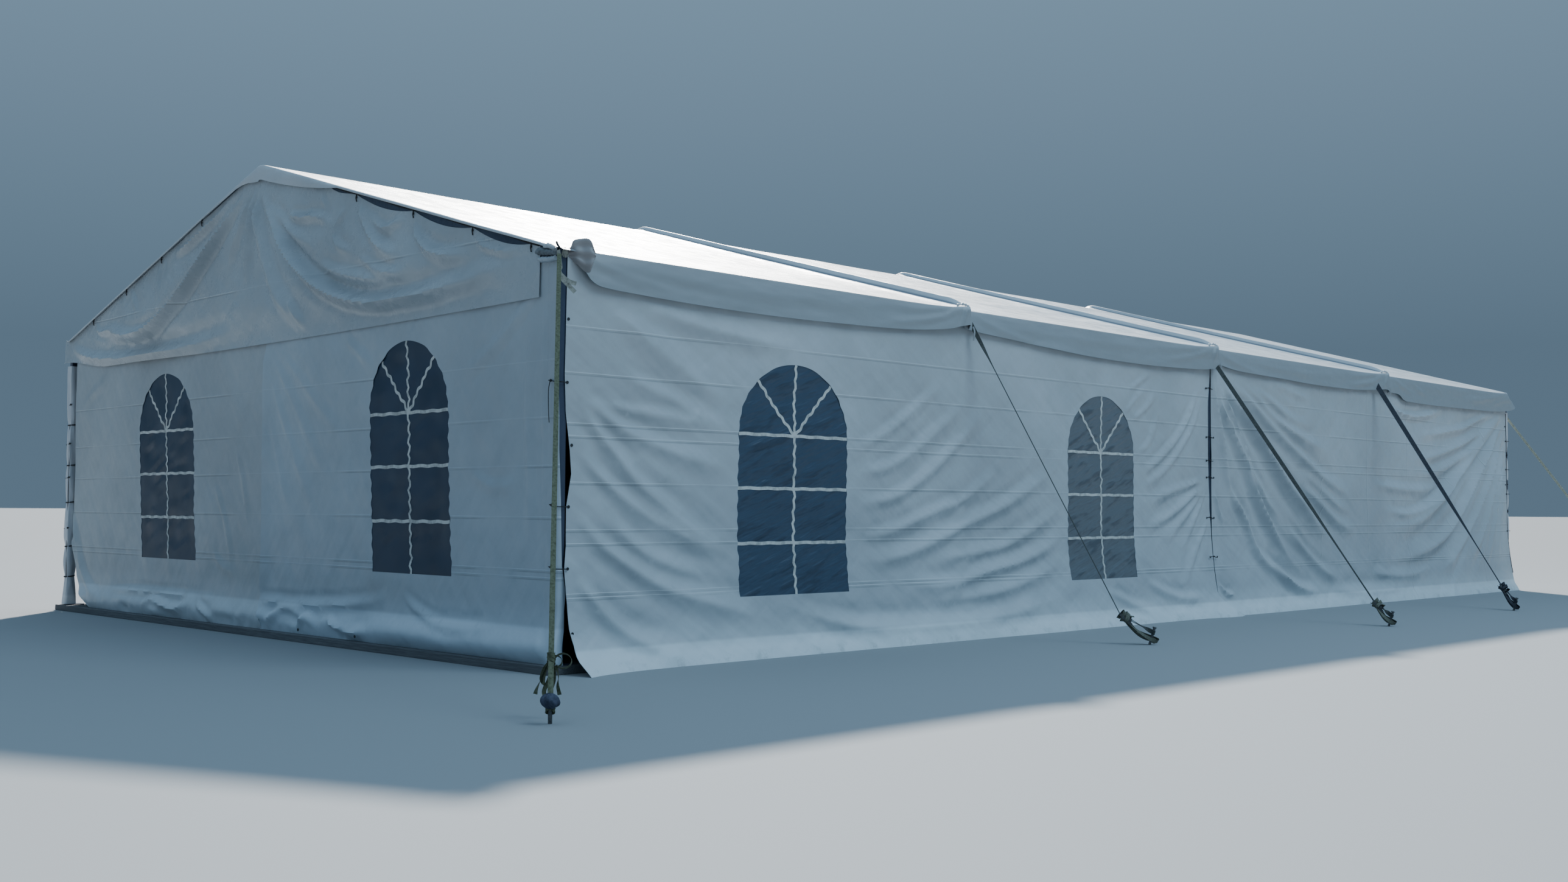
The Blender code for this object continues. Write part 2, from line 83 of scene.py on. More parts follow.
# End walls and gable sheets
END_WALL_Y = 12.03
END_WALL_TOP = 3.9
END_SILL = 0.85
END_JOIN = 0.2
ROUND_AT = 6.03
ROUND_R = 0.03
TURN_AT = (5.84, 5.87, 5.90, 5.94, 5.98, 6.02, 6.032, 6.044, 6.056, 6.068, 6.08, 6.095)
GABLE_Y = STEEL_END + GAP
GABLE_LOW = -6.3
GABLE_BEND = -6.02
GABLE_TURN = -6.06
GABLE_HIGH = 5.74
GABLE_TIES = (-5.15, -4.0, -2.85, -1.63, 2.29, 3.48, 4.6, 5.6)

# Edges at the near corner: the side sheets' (metres ahead of SIDE_EDGE, z) and the end sheet's turned one (a, z)
NEAR_EDGE = ((0.035, 3.94), (0.045, 3.2), (0.052, 2.8), (0.035, 2.45), (-0.017, 2.1), (-0.04, 1.87), (0.017, 1.56),
             (0.018, 1.2), (0.05, 0.97), (0.035, 0.65), (0.045, 0.42), (0.03, 0.27), (0.045, 0.13), (0.028, 0.0))
TURNED_EDGE = ((6.14, 0.6), (6.155, 0.75), (6.13, 0.9), (6.11, 1.0), (6.103, 1.15), (6.088, 1.6), (6.073, 1.9),
               (6.063, 2.1), (6.061, 2.4), (6.052, 2.6), (6.043, 2.8), (6.051, 2.95), (6.057, 3.2))

# Windows
WINDOW_TALL = 2.47
ARCH_RISE = 0.77
WAVE = 0.007
END_WAVE = 0.011
WAVE_LONG = 0.15
FILM_LAP = 0.035
BAR_WIDE = 0.035
BAR_RISES = (0.55, 1.13)
FAN_SHARE = 0.335
# Each as drawn askew by its cloth: centre at the sill, shift of its top, width
SIDE_WINDOWS = ((-8.90, 0.02, 1.67), (-2.92, 0.0, 1.6))
END_WINDOWS = ((-2.49, -0.21, 1.68), (3.51, -0.17, 1.53))

# Mesh spacing on the sheets
FINE = 0.036
BEND = 0.0019
EDGE_STEP = 0.05


def smooth(x):
    x = np.clip(x, 0.0, 1.0)
    return x * x * (3 - 2 * x)


def bell(x):
    return np.exp(-x * x)


def roof_z(x):
    return RIDGE_TOP - np.abs(x) * SLOPE


def scramble(i, j, seed):
    n = (i * 374761393 + j * 668265263 + seed * 974711) & 0x7FFFFFFF
    n = ((n ^ (n >> 13)) * 1274126177) & 0x7FFFFFFF
    return ((n ^ (n >> 16)) & 0xFFFF) / 32767.5 - 1.0


def ripple(a, b, size_a, size_b, seed):
    """Smooth random waves between -1 and 1, about size metres long each way."""
    qa = np.asarray(a) / size_a
    qb = np.asarray(b) / size_b
    i = np.floor(qa).astype(np.int64)
    j = np.floor(qb).astype(np.int64)
    s = smooth(qa - i)
    t = smooth(qb - j)
    low = scramble(i, j, seed) * (1 - s) + scramble(i + 1, j, seed) * s
    high = scramble(i, j + 1, seed) * (1 - s) + scramble(i + 1, j + 1, seed) * s
    return low * (1 - t) + high * t


def curve_points(points, steps):
    """Points along a smooth curve through the given ones."""
    p = np.array(points, float)
    p = np.vstack([2 * p[0] - p[1], p, 2 * p[-1] - p[-2]])
    out = []
    for k in range(1, len(p) - 2):
        a, b, c, d = p[k - 1:k + 3]
        for s in np.arange(steps) / steps:
            out.append(0.5 * (2 * b + (c - a) * s + (2 * a - 5 * b + 4 * c - d) * s ** 2
                              + (3 * b - a - 3 * c + d) * s ** 3))
    out.append(p[-2])
    return np.array(out)


def fold(a, b, start, end, height, path):
    """Height of one fold over the sheet points: a crest along path that widens from start to end."""
    line = curve_points(path, 4)
    step = np.diff(line, axis=0)
    length = np.hypot(step[:, 0], step[:, 1])
    run = np.concatenate([[0.0], np.cumsum(length)])
    total = run[-1]
    reach = 4 * max(start, end)
    low = line.min(0) - reach
    high = line.max(0) + reach
    height_map = np.zeros(len(a))
    use = np.flatnonzero((a > low[0]) & (a < high[0]) & (b > low[1]) & (b < high[1]))
    if not len(use):
        return height_map
    pa = a[use]
    pb = b[use]
    near = np.full(len(use), 1e9)
    share = np.zeros(len(use))
    side = np.ones(len(use))
    for k, (da, db) in enumerate(step):
        ra = pa - line[k, 0]
        rb = pb - line[k, 1]
        s = np.clip((ra * da + rb * db) / length[k] ** 2, 0.0, 1.0)
        gap = np.hypot(ra - s * da, rb - s * db)
        hit = gap < near
        near[hit] = gap[hit]
        share[hit] = (run[k] + s[hit] * length[k]) / total
        side[hit] = np.sign(da * rb - db * ra)[hit]
    width = start + (end - start) * share
    s = near / width
    crest = np.exp(-1.3 * s ** 1.5)
    trough = 0.42 * bell((s - 1.9) / 0.8) * (0.75 + 0.25 * side)
    taper = smooth(share / 0.22) * smooth((1 - share) / 0.4)
    height_map[use] = height * (crest - trough) * taper
    return height_map


def folds_height(a, b, folds):
    total = np.zeros(len(a))
    for start, end, height, *path in folds:
        total += fold(a, b, start, end, height, path)
    return total


# Folds as (width at the start, width at the end, height, then points along it); side walls in (y, z)
SIDE_FRONT_FOLDS = (
    (0.05, 0.10, 0.026, (-11.92, 2.70), (-11.54, 2.45), (-11.15, 2.26), (-10.77, 2.15), (-10.3, 2.03),
     (-9.7, 1.95)),
    (0.05, 0.13, 0.034, (-11.88, 2.65), (-11.62, 2.3), (-11.3, 1.99), (-11.0, 1.72), (-10.23, 1.26), (-9.7, 1.11)),
    (0.10, 0.16, 0.024, (-11.6, 3.53), (-11.15, 3.3), (-10.7, 3.03), (-10.15, 2.76), (-9.6, 2.6)),
    (0.08, 0.11, 0.030, (-11.15, 3.57), (-10.46, 3.44), (-9.85, 3.36), (-9.2, 3.3), (-8.5, 3.24)),
    (0.05, 0.12, 0.030, (-11.87, 2.14), (-11.54, 1.84), (-11.15, 1.57), (-10.69, 1.34), (-10.15, 1.15),
     (-9.65, 1.03)),
    (0.05, 0.14, 0.034, (-11.88, 1.55), (-11.58, 1.22), (-11.23, 0.99), (-10.77, 0.76), (-10.23, 0.61),
     (-9.0, 0.3)),
    (0.05, 0.12, 0.028, (-11.89, 0.95), (-11.65, 0.65), (-11.35, 0.38), (-11.0, 0.2), (-10.46, 0.11)),
    (0.04, 0.08, 0.018, (-11.7, 2.58), (-11.2, 2.5), (-10.6, 2.45), (-9.8, 2.35)),
    (0.06, 0.09, 0.018, (-11.35, 2.85), (-10.77, 2.68), (-10.15, 2.46), (-9.7, 2.38)),
    (0.05, 0.10, 0.020, (-11.5, 1.5), (-11.0, 1.1), (-10.4, 0.9), (-9.9, 0.8)),
    (0.06, 0.08, 0.022, (-7.96, 1.95), (-7.38, 2.03), (-6.85, 2.26), (-6.3, 2.6), (-5.77, 2.95)),
    (0.06, 0.09, 0.028, (-7.96, 1.61), (-7.3, 1.68), (-6.73, 1.92), (-6.15, 2.3), (-5.7, 2.65), (-5.4, 3.1)),
    (0.05, 0.07, 0.018, (-7.96, 2.22), (-7.5, 2.38), (-7.0, 2.65), (-6.54, 2.95), (-6.15, 3.26)),
    (0.08, 0.08, 0.034, (-7.96, 0.95), (-7.3, 0.99), (-6.6, 1.15), (-5.9, 1.38), (-5.15, 1.6), (-4.57, 1.84),
     (-4.0, 2.1), (-3.65, 2.33)),
    (0.06, 0.07, 0.024, (-7.96, 1.22), (-7.3, 1.3), (-6.5, 1.53), (-5.9, 1.7), (-5.35, 2.03), (-5.04, 2.5)),
    (0.08, 0.07, 0.026, (-6.6, 0.95), (-5.72, 1.03), (-5.15, 1.1), (-4.65, 1.26), (-4.18, 1.45), (-3.6, 1.8)),
    (0.09, 0.07, 0.036, (-7.2, 0.68), (-6.3, 0.65), (-5.53, 0.8), (-4.76, 0.92), (-4.15, 1.1), (-3.55, 1.45)),
    (0.09, 0.08, 0.026, (-6.9, 0.45), (-5.5, 0.53), (-4.76, 0.65), (-4.0, 0.84), (-3.55, 1.0)),
    (0.08, 0.12, 0.034, (-9.4, 0.62), (-9.0, 0.5), (-8.46, 0.34), (-7.7, 0.22), (-6.3, 0.2), (-5.15, 0.26),
     (-4.0, 0.45), (-3.4, 0.6)),
    (0.04, 0.06, 0.016, (-2.0, 2.35), (-1.68, 2.57), (-1.43, 3.07)),
    (0.06, 0.05, 0.026, (-1.95, 2.03), (-1.38, 2.34), (-0.92, 2.65), (-0.57, 3.03), (-0.18, 3.57)),
    (0.06, 0.04, 0.022, (-1.95, 1.84), (-1.3, 2.15), (-0.8, 2.53), (-0.42, 2.95), (-0.15, 3.49)),
    (0.04, 0.08, 0.024, (-0.13, 2.03), (-0.73, 1.92), (-1.3, 1.8), (-1.93, 1.6)),
    (0.04, 0.08, 0.028, (-0.13, 2.01), (-0.6, 1.76), (-1.1, 1.53), (-1.68, 1.34), (-2.0, 1.22)),
    (0.04, 0.07, 0.024, (-0.13, 1.99), (-0.53, 1.65), (-0.92, 1.38), (-1.38, 1.03)),
    (0.03, 0.07, 0.020, (-0.1, 1.95), (-0.38, 1.6), (-0.68, 1.22), (-1.0, 0.84)),
    (0.04, 0.08, 0.022, (-0.1, 1.45), (-0.4, 1.1), (-0.72, 0.72), (-0.92, 0.45)),
    (0.06, 0.07, 0.024, (-1.95, 0.6), (-1.5, 0.42), (-0.92, 0.3), (-0.22, 0.32)),
    (0.03, 0.04, 0.014, (-2.3, 3.22), (-1.9, 3.4), (-1.55, 3.58)),
    (0.03, 0.04, 0.014, (-2.37, 2.9), (-2.03, 3.15), (-1.8, 3.3)),
    (0.03, 0.05, 0.016, (-2.15, 2.82), (-1.72, 3.07), (-1.5, 3.3)),
    (0.05, 0.08, 0.020, (-3.0, 0.5), (-2.6, 0.36), (-2.1, 0.2), (-1.5, 0.12)),
)
SIDE_BACK_FOLDS = (
    (0.04, 0.08, 0.026, (0.03, 3.6), (0.12, 3.3), (0.28, 2.76), (0.37, 2.38), (0.49, 1.84), (0.53, 1.4)),
    (0.05, 0.12, 0.050, (0.07, 3.66), (0.28, 3.22), (0.58, 2.76), (0.97, 2.3), (1.24, 1.92), (1.51, 1.61),
     (1.85, 1.26), (2.2, 0.95), (2.58, 0.68), (3.1, 0.5)),
    (0.05, 0.08, 0.040, (0.14, 3.62), (0.47, 3.15), (0.85, 2.6), (1.24, 2.15), (1.5, 1.92), (1.78, 1.68),
     (2.3, 1.42)),
    (0.06, 0.14, 0.055, (0.22, 3.62), (0.7, 3.22), (1.05, 2.95), (1.62, 2.53), (2.39, 1.95), (3.05, 1.57),
     (3.55, 1.26), (4.2, 0.93)),
    (0.06, 0.12, 0.036, (0.55, 3.57), (0.97, 3.38), (1.62, 3.03), (2.39, 2.65), (3.0, 2.38), (3.55, 2.15),
     (4.12, 1.99), (5.0, 1.76)),
    (0.06, 0.10, 0.030, (0.85, 3.6), (1.39, 3.34), (2.0, 3.03), (2.62, 2.84), (3.4, 2.65), (4.0, 2.56)),
    (0.06, 0.09, 0.024, (1.08, 3.59), (1.85, 3.3), (2.62, 3.03), (3.35, 2.93)),
    (0.05, 0.07, 0.018, (1.9, 3.62), (2.58, 3.5), (3.4, 3.38)),
    (0.08, 0.11, 0.026, (2.9, 2.02), (3.55, 1.68), (4.3, 1.34), (5.08, 1.2)),
    (0.07, 0.09, 0.020, (2.8, 2.26), (3.55, 1.94), (4.12, 1.7), (4.8, 1.5)),
    (0.05, 0.12, 0.034, (0.35, 2.15), (0.66, 1.76), (1.05, 1.38), (1.35, 0.92), (1.85, 0.61), (2.39, 0.42),
     (3.16, 0.26)),
    (0.03, 0.05, 0.018, (0.05, 1.9), (0.2, 1.57), (0.42, 1.34)),
    (0.06, 0.09, 0.026, (1.5, 1.0), (2.08, 0.53), (2.58, 0.34), (3.5, 0.22)),
    (0.07, 0.11, 0.032, (2.3, 1.36), (3.0, 0.88), (3.55, 0.57), (4.4, 0.36)),
    (0.03, 0.05, 0.020, (0.05, 0.5), (0.24, 0.34), (0.55, 0.3)),
    (0.04, 0.07, 0.022, (0.3, 3.4), (0.62, 2.9), (1.0, 2.45), (1.3, 2.2)),
    (0.07, 0.15, 0.055, (11.9, 3.6), (11.47, 3.42), (10.7, 3.03), (9.93, 2.6), (9.35, 2.3), (8.78, 1.99),
     (8.2, 1.68), (7.62, 1.45), (7.05, 1.34), (6.1, 1.3)),
    (0.06, 0.10, 0.030, (11.7, 3.58), (11.08, 3.34), (10.5, 3.03), (9.93, 2.76), (9.35, 2.57), (8.78, 2.42),
     (8.08, 2.3), (7.2, 2.26)),
    (0.06, 0.15, 0.050, (11.92, 3.5), (11.28, 3.03), (10.7, 2.6), (10.12, 2.15), (9.55, 1.68), (9.05, 1.34),
     (8.47, 1.07), (7.78, 0.88), (7.05, 0.76), (6.1, 0.68)),
    (0.05, 0.12, 0.038, (11.92, 3.25), (11.47, 2.8), (11.0, 2.26), (10.5, 1.76), (9.93, 1.3), (9.35, 0.92),
     (8.78, 0.61), (7.9, 0.4)),
    (0.04, 0.10, 0.030, (11.9, 3.0), (11.55, 2.45), (11.08, 1.84), (10.7, 1.34), (10.3, 0.95), (9.6, 0.55)),
    (0.04, 0.08, 0.024, (11.88, 2.76), (11.58, 2.22), (11.28, 1.53), (10.97, 0.95), (10.5, 0.4)),
    (0.04, 0.07, 0.018, (11.87, 2.57), (11.7, 1.92), (11.47, 1.22), (11.25, 0.5)),
    (0.05, 0.08, 0.026, (11.24, 3.55), (10.5, 3.42), (9.74, 3.22), (9.08, 3.13), (8.2, 3.03), (7.2, 2.95)),
    (0.06, 0.09, 0.030, (11.1, 3.3), (10.3, 3.07), (9.55, 2.88), (8.97, 2.76), (8.4, 2.65), (7.85, 2.57),
     (7.0, 2.53)),
    (0.05, 0.07, 0.030, (6.02, 3.62), (6.4, 3.44), (6.85, 3.34), (7.43, 3.32), (8.0, 3.38), (8.47, 3.47),
     (8.9, 3.6)),
    (0.07, 0.08, 0.022, (5.9, 1.62), (6.85, 1.53), (7.62, 1.61), (8.4, 1.84), (9.16, 2.15), (9.9, 2.45)),
    (0.08, 0.09, 0.022, (5.5, 2.06), (6.5, 1.99), (7.6, 1.97), (8.7, 2.1)),
    (0.09, 0.10, 0.024, (5.2, 0.53), (6.2, 0.44), (7.2, 0.46), (8.2, 0.62)),
    (0.09, 0.10, 0.020, (3.6, 0.3), (4.6, 0.2), (6.0, 0.2), (7.2, 0.24)),
)

# Gable sheets in (x seen from outside, z)
GABLE_FOLDS = (
    (0.05, 0.08, 0.060, (-0.3, 5.6), (-0.67, 5.28), (-1.08, 4.95), (-1.5, 4.65), (-1.92, 4.4), (-2.33, 4.2),
     (-2.75, 4.03), (-3.17, 3.93), (-3.67, 3.9), (-4.17, 3.97), (-4.7, 4.1), (-5.15, 4.34)),
    (0.04, 0.05, 0.045, (-0.5, 5.55), (-0.96, 5.36), (-1.3, 5.2), (-1.7, 5.07), (-2.13, 4.95), (-2.5, 4.94),
     (-2.85, 5.02)),
    (0.03, 0.05, 0.014, (-2.87, 5.0), (-2.92, 4.65), (-2.85, 4.3)),
    (0.03, 0.05, 0.012, (-2.8, 4.98), (-2.72, 4.7), (-2.78, 4.4)),
    (0.07, 0.10, 0.050, (-6.2, 4.08), (-5.88, 3.9), (-5.46, 3.76), (-4.83, 3.66), (-4.0, 3.61), (-3.17, 3.6),
     (-1.92, 3.62), (-0.88, 3.7), (0.0, 3.78)),
    (0.04, 0.07, 0.026, (-0.14, 5.5), (-0.2, 5.07), (-0.25, 4.53), (-0.2, 4.1)),
    (0.03, 0.06, 0.020, (-0.25, 5.5), (-0.42, 5.07), (-0.67, 4.65), (-0.85, 4.3)),
    (0.03, 0.05, 0.016, (-0.02, 5.4), (0.02, 4.9), (0.1, 4.4)),
    (0.04, 0.05, 0.022, (-5.12, 4.28), (-4.96, 4.08), (-4.67, 4.04), (-4.2, 4.1)),
    (0.03, 0.05, 0.016, (-4.02, 4.7), (-3.83, 4.53), (-3.62, 4.32), (-3.5, 4.15)),
    (0.03, 0.05, 0.014, (-3.98, 4.68), (-4.08, 4.5), (-4.05, 4.3)),
    (0.03, 0.05, 0.016, (-1.66, 5.3), (-1.9, 5.15), (-2.2, 5.12), (-2.6, 5.08)),
    (0.05, 0.11, 0.065, (-0.06, 5.52), (0.2, 5.2), (0.5, 4.9), (0.88, 4.53), (1.29, 4.24), (1.7, 4.03), (2.2, 3.86),
     (2.83, 3.76), (3.67, 3.76), (4.5, 3.82), (5.2, 3.93), (5.66, 4.05)),
    (0.05, 0.12, 0.034, (-0.1, 5.45), (0.04, 4.99), (0.25, 4.53), (0.58, 4.07), (1.08, 3.7), (1.58, 3.55)),
    (0.04, 0.07, 0.036, (2.3, 5.0), (2.5, 4.74), (2.75, 4.49), (3.04, 4.3), (3.35, 4.22)),
    (0.04, 0.05, 0.026, (2.36, 4.98), (2.67, 4.7), (2.92, 4.57), (3.17, 4.6), (3.45, 4.68)),
    (0.04, 0.08, 0.036, (3.49, 4.66), (3.58, 4.45), (3.8, 4.26), (4.08, 4.15), (4.6, 4.08)),
    (0.04, 0.05, 0.020, (2.1, 4.95), (1.92, 4.74), (2.0, 4.49), (2.42, 4.34)),
    (0.04, 0.06, 0.026, (0.7, 5.0), (1.1, 4.93), (1.5, 4.88), (1.9, 4.72)),
    (0.04, 0.08, 0.026, (0.3, 5.2), (0.75, 4.86), (1.17, 4.65), (1.6, 4.5)),
    (0.04, 0.06, 0.022, (2.45, 4.32), (2.92, 4.1), (3.5, 4.02)),
    (0.03, 0.05, 0.020, (0.84, 4.0), (1.02, 3.8), (1.22, 3.62)),
    (0.03, 0.06, 0.024, (4.62, 4.32), (4.83, 4.15), (5.25, 4.06), (5.62, 4.16)),
    (0.03, 0.05, 0.016, (1.5, 5.15), (1.62, 4.95), (1.56, 4.75)),
    (0.05, 0.08, 0.024, (1.5, 4.35), (2.0, 4.18), (2.6, 4.05), (3.2, 3.98)),
)
# End walls in (x seen from outside, z): the left and right panels
END_LEFT_FOLDS = (
    (0.04, 0.08, 0.030, (-5.85, 1.5), (-5.63, 0.99), (-5.42, 0.65), (-5.08, 0.36), (-4.5, 0.2)),
    (0.05, 0.07, 0.020, (-5.85, 1.1), (-5.7, 0.85), (-5.5, 0.6)),
    (0.04, 0.05, 0.026, (-4.6, 0.38), (-3.9, 0.38), (-3.2, 0.4), (-2.3, 0.39), (-1.4, 0.38), (-0.6, 0.39)),
    (0.04, 0.06, 0.030, (-3.3, 0.14), (-2.9, 0.3), (-2.2, 0.2), (-1.7, 0.3), (-1.2, 0.16)),
    (0.03, 0.06, 0.026, (-1.55, 0.36), (-1.3, 0.2), (-1.0, 0.1)),
    (0.04, 0.06, 0.012, (-1.2, 1.9), (-0.9, 1.5), (-0.7, 1.0), (-0.6, 0.6)),
    (0.03, 0.06, 0.010, (-0.6, 2.3), (-0.35, 1.8), (-0.2, 1.2)),
    (0.05, 0.08, 0.010, (-5.5, 3.0), (-5.1, 3.2), (-4.5, 3.4)),
    (0.04, 0.07, 0.010, (-1.2, 1.0), (-0.9, 0.8), (-0.4, 0.7)),
)
END_RIGHT_FOLDS = (
    (0.04, 0.09, 0.012, (0.32, 3.4), (0.8, 2.9), (1.4, 2.2), (1.9, 1.6)),
    (0.04, 0.09, 0.012, (0.3, 3.2), (0.7, 2.5), (1.2, 1.8), (1.6, 1.2)),
    (0.04, 0.09, 0.010, (0.5, 3.45), (1.1, 3.0), (1.8, 2.5), (2.4, 2.2)),
    (0.04, 0.08, 0.010, (0.28, 2.7), (0.6, 2.0), (0.9, 1.3)),
    (0.04, 0.06, 0.016, (2.05, 3.45), (2.4, 3.25), (2.7, 3.05)),
    (0.04, 0.08, 0.014, (5.75, 3.7), (5.3, 3.35), (4.8, 3.05), (4.2, 2.85)),
    (0.04, 0.06, 0.016, (5.66, 3.5), (5.55, 2.6), (5.6, 1.6), (5.55, 0.8)),
    (0.03, 0.05, 0.014, (5.82, 3.6), (5.8, 2.8), (5.84, 1.9), (5.8, 1.0)),
    (0.04, 0.07, 0.012, (4.6, 1.9), (5.0, 1.75), (5.5, 1.8)),
    (0.05, 0.06, 0.034, (-0.1, 0.4), (0.5, 0.42), (1.3, 0.42), (2.2, 0.46), (2.9, 0.55), (3.3, 0.7)),
    (0.04, 0.06, 0.026, (3.3, 0.7), (3.6, 0.5), (4.1, 0.36), (4.8, 0.36), (5.3, 0.42)),
    (0.04, 0.07, 0.034, (0.3, 0.16), (0.8, 0.36), (1.2, 0.3), (1.6, 0.14)),
    (0.03, 0.06, 0.030, (1.1, 0.12), (1.35, 0.3), (1.6, 0.18)),
    (0.03, 0.07, 0.030, (1.8, 0.36), (2.1, 0.2), (2.5, 0.18), (2.9, 0.24)),
    (0.04, 0.06, 0.020, (-0.1, 0.9), (0.0, 0.6), (0.1, 0.3)),
)


def inside(points, loop):
    """Which points lie within a closed loop."""
    x, y = points.T
    hit = np.zeros(len(points), bool)
    for (x1, y1), (x2, y2) in zip(loop, np.roll(loop, 1, axis=0)):
        if y1 == y2:
            continue
        hit ^= ((y1 > y) != (y2 > y)) & (x < (x2 - x1) * (y - y1) / (y2 - y1) + x1)
    return hit


def too_near(points, loop, reach):
    """Which points lie closer than reach to a closed loop's edges."""
    x, y = points.T
    hit = np.zeros(len(points), bool)
    for (x1, y1), (x2, y2) in zip(loop, np.roll(loop, 1, axis=0)):
        dx = x2 - x1
        dy = y2 - y1
        s = np.clip(((x - x1) * dx + (y - y1) * dy) / (dx * dx + dy * dy + 1e-12), 0.0, 1.0)
        hit |= np.hypot(x - x1 - s * dx, y - y1 - s * dy) < reach
    return hit


def cut(outline, holes, height, extra=()):
    """Points and triangles of a flat cut of cloth, closer together where height(a, b) bends, and through extra."""
    low = outline.min(0)
    high = outline.max(0)
    rise = FINE * math.sqrt(3) / 2
    rows = int((high[1] - low[1]) / rise)
    cols = int((high[0] - low[0]) / FINE)
    j, i = np.mgrid[1:rows + 1, 1:cols + 1]
    a = low[0] + (i + 0.5 * (j % 2)) * FINE
    b = low[1] + j * rise
    level = height(a.ravel(), b.ravel()).reshape(a.shape)
    bend = np.zeros(a.shape)
    bend[:, 1:-1] = np.abs(level[:, :-2] - 2 * level[:, 1:-1] + level[:, 2:])
    across = np.abs(level[:-4] - 2 * level[2:-2] + level[4:]) / 3
    bend[2:-2] = np.maximum(bend[2:-2], across)
    sharp = bend > BEND
    coarse = (j % 2 == 0) & (i % 2 == (j // 2) % 2)
    keep = coarse | sharp
    points = np.column_stack([a[keep], b[keep]])
    points = points[inside(points, outline)]
    for hole in holes:
        points = points[~inside(points, hole)]
    for loop in (outline, *holes):
        points = points[~too_near(points, loop, FINE * 0.5)]
    loops = []
    edges = []
    count = 0
    for loop in (outline, *holes):
        edges += [(count + k, count + (k + 1) % len(loop)) for k in range(len(loop))]
        loops.append(loop)
        count += len(loop)
    if len(extra):
        extra = np.array(extra)
        extra = extra[inside(extra, outline) & ~too_near(extra, outline, 0.008)]
        points = points[points[:, 0] < extra[:, 0].min() - 0.008]
        points = np.vstack([points, extra])
    points = np.vstack([*loops, points])
    found = delaunay_2d_cdt([Vector(p) for p in points], edges, [], 0, 1e-7)
    points = np.array([tuple(v) for v in found[0]])
    tris = np.array([tuple(t) for t in found[2]])
    middle = points[tris].mean(1)
    good = inside(middle, outline)
    for hole in holes:
        good &= ~inside(middle, hole)
    return points, tris[good]


def run_along(corners, step=EDGE_STEP):
    """A closed loop through the corners with points about step apart."""
    out = []
    for a, b in zip(corners, np.roll(corners, -1, axis=0)):
        count = max(1, round(float(np.hypot(*(b - a))) / step))
        out += [a + (b - a) * k / count for k in range(count)]
    return np.array(out)


def arch(view, sill, grow=0.0, wave=WAVE):
    """Loop of an arched window; the cloth pulls it askew and its sewn sides into waves."""
    centre, skew, wide = view
    half = wide / 2 + grow
    spring = sill + WINDOW_TALL - ARCH_RISE
    low = sill - grow
    flat = np.arange(-half, half, EDGE_STEP)
    rising = np.arange(low, spring, 0.03)
    turn = np.linspace(0, math.pi, 60)
    loop = [(x, low) for x in flat] + [(half, z) for z in rising]
    loop += [(half * math.cos(t), spring + (ARCH_RISE + grow) * math.sin(t)) for t in turn[:-1]]
    loop += [(-half, z) for z in rising[::-1] + 0.03]
    loop = np.array(loop)
    beat = np.sin(2 * math.pi * loop[:, 1] / WAVE_LONG + centre * 3) * smooth((loop[:, 1] - low) / 0.2)
    loop[:, 0] += wave * beat * np.sign(loop[:, 0]) + wave * 0.5 * np.sin(loop[:, 1] * 17 + centre)
    loop[:, 0] += centre + skew * (loop[:, 1] - sill) / WINDOW_TALL
    return loop


def side_height(folds, seed, depth):
    """Height of a side wall's folds over its plain face; posts and the valance's back are kept clear."""
    def height(a, b):
        out = depth * folds_height(a, b, folds)
        out += 0.009 * ripple(a, b, 0.9, 0.45, seed) + 0.003 * ripple(a, b, 0.32, 0.2, seed + 1)
        out += 0.012 * ripple(a, b, 2.2, 1.2, seed + 2)
        out *= 1 - 0.75 * smooth((b - 3.35) / 0.3)
        at_post = bell((a - np.round(a / BAY) * BAY) / 0.14)
        blend = np.maximum(at_post, smooth((b - 3.4) / 0.2))
        return np.maximum(out, -0.055) * (1 - blend) + np.maximum(out, 0.002) * blend + 0.006
    return height


def side_surface(side, a, b, out, flap=0.0):
    drop = np.clip(1 - b / FLARE_TALL, 0.0, None)
    corner = np.exp(-(SIDE_EDGE + a) / CORNER_FLARE_RUN)
    flare = FLARE * drop ** 1.6 + CORNER_FLARE * corner * drop ** 6
    flare += FOOT_KICK * smooth(1 - b / FOOT_KICK_TALL)
    if flap:
        flare += flap * bell((a - 0.2) / 0.5) * smooth(1 - b / 0.4)
    return np.column_stack([side * (OUTER + GAP + SHEET + flare + out), a, b])


def end_height(folds, seed, rolled=False):
    """Folds of an end wall; its foot is bunched over the floor, in a thick roll along its right part if rolled."""
    def height(a, b):
        roll = smooth((a - 2.7) / 0.3) * smooth((6.1 - a) / 0.2) if rolled else 0.0
        out = 1.5 * folds_height(a, b, folds)
        out += 0.006 * ripple(a, b, 0.8, 0.5, seed) + 0.0015 * ripple(a, b, 0.25, 0.3, seed + 1)
        out += 0.008 * ripple(a, b, 2.0, 1.5, seed + 2)
        low = b - DECK_TOP
        tuck = smooth(low / 0.07)
        bulge = (0.05 + 0.035 * roll) * smooth(1 - np.abs(low - 0.15) / 0.2)
        crumple = 0.016 * ripple(a, b, 0.2, 0.14, seed + 3) + 0.024 * ripple(a + b, b, 0.45, 0.14, seed + 4)
        out += bulge + crumple * smooth(1 - (low - 0.1) / 0.3) * (1 - 0.6 * roll)
        out = out * (0.25 + 0.75 * tuck)
        under = smooth((b - 3.35) / 0.15)
        out = out * (1 - under) + np.clip(out, -0.02, 0.004) * under
        return np.clip(out, -0.03, 0.105)
    return height


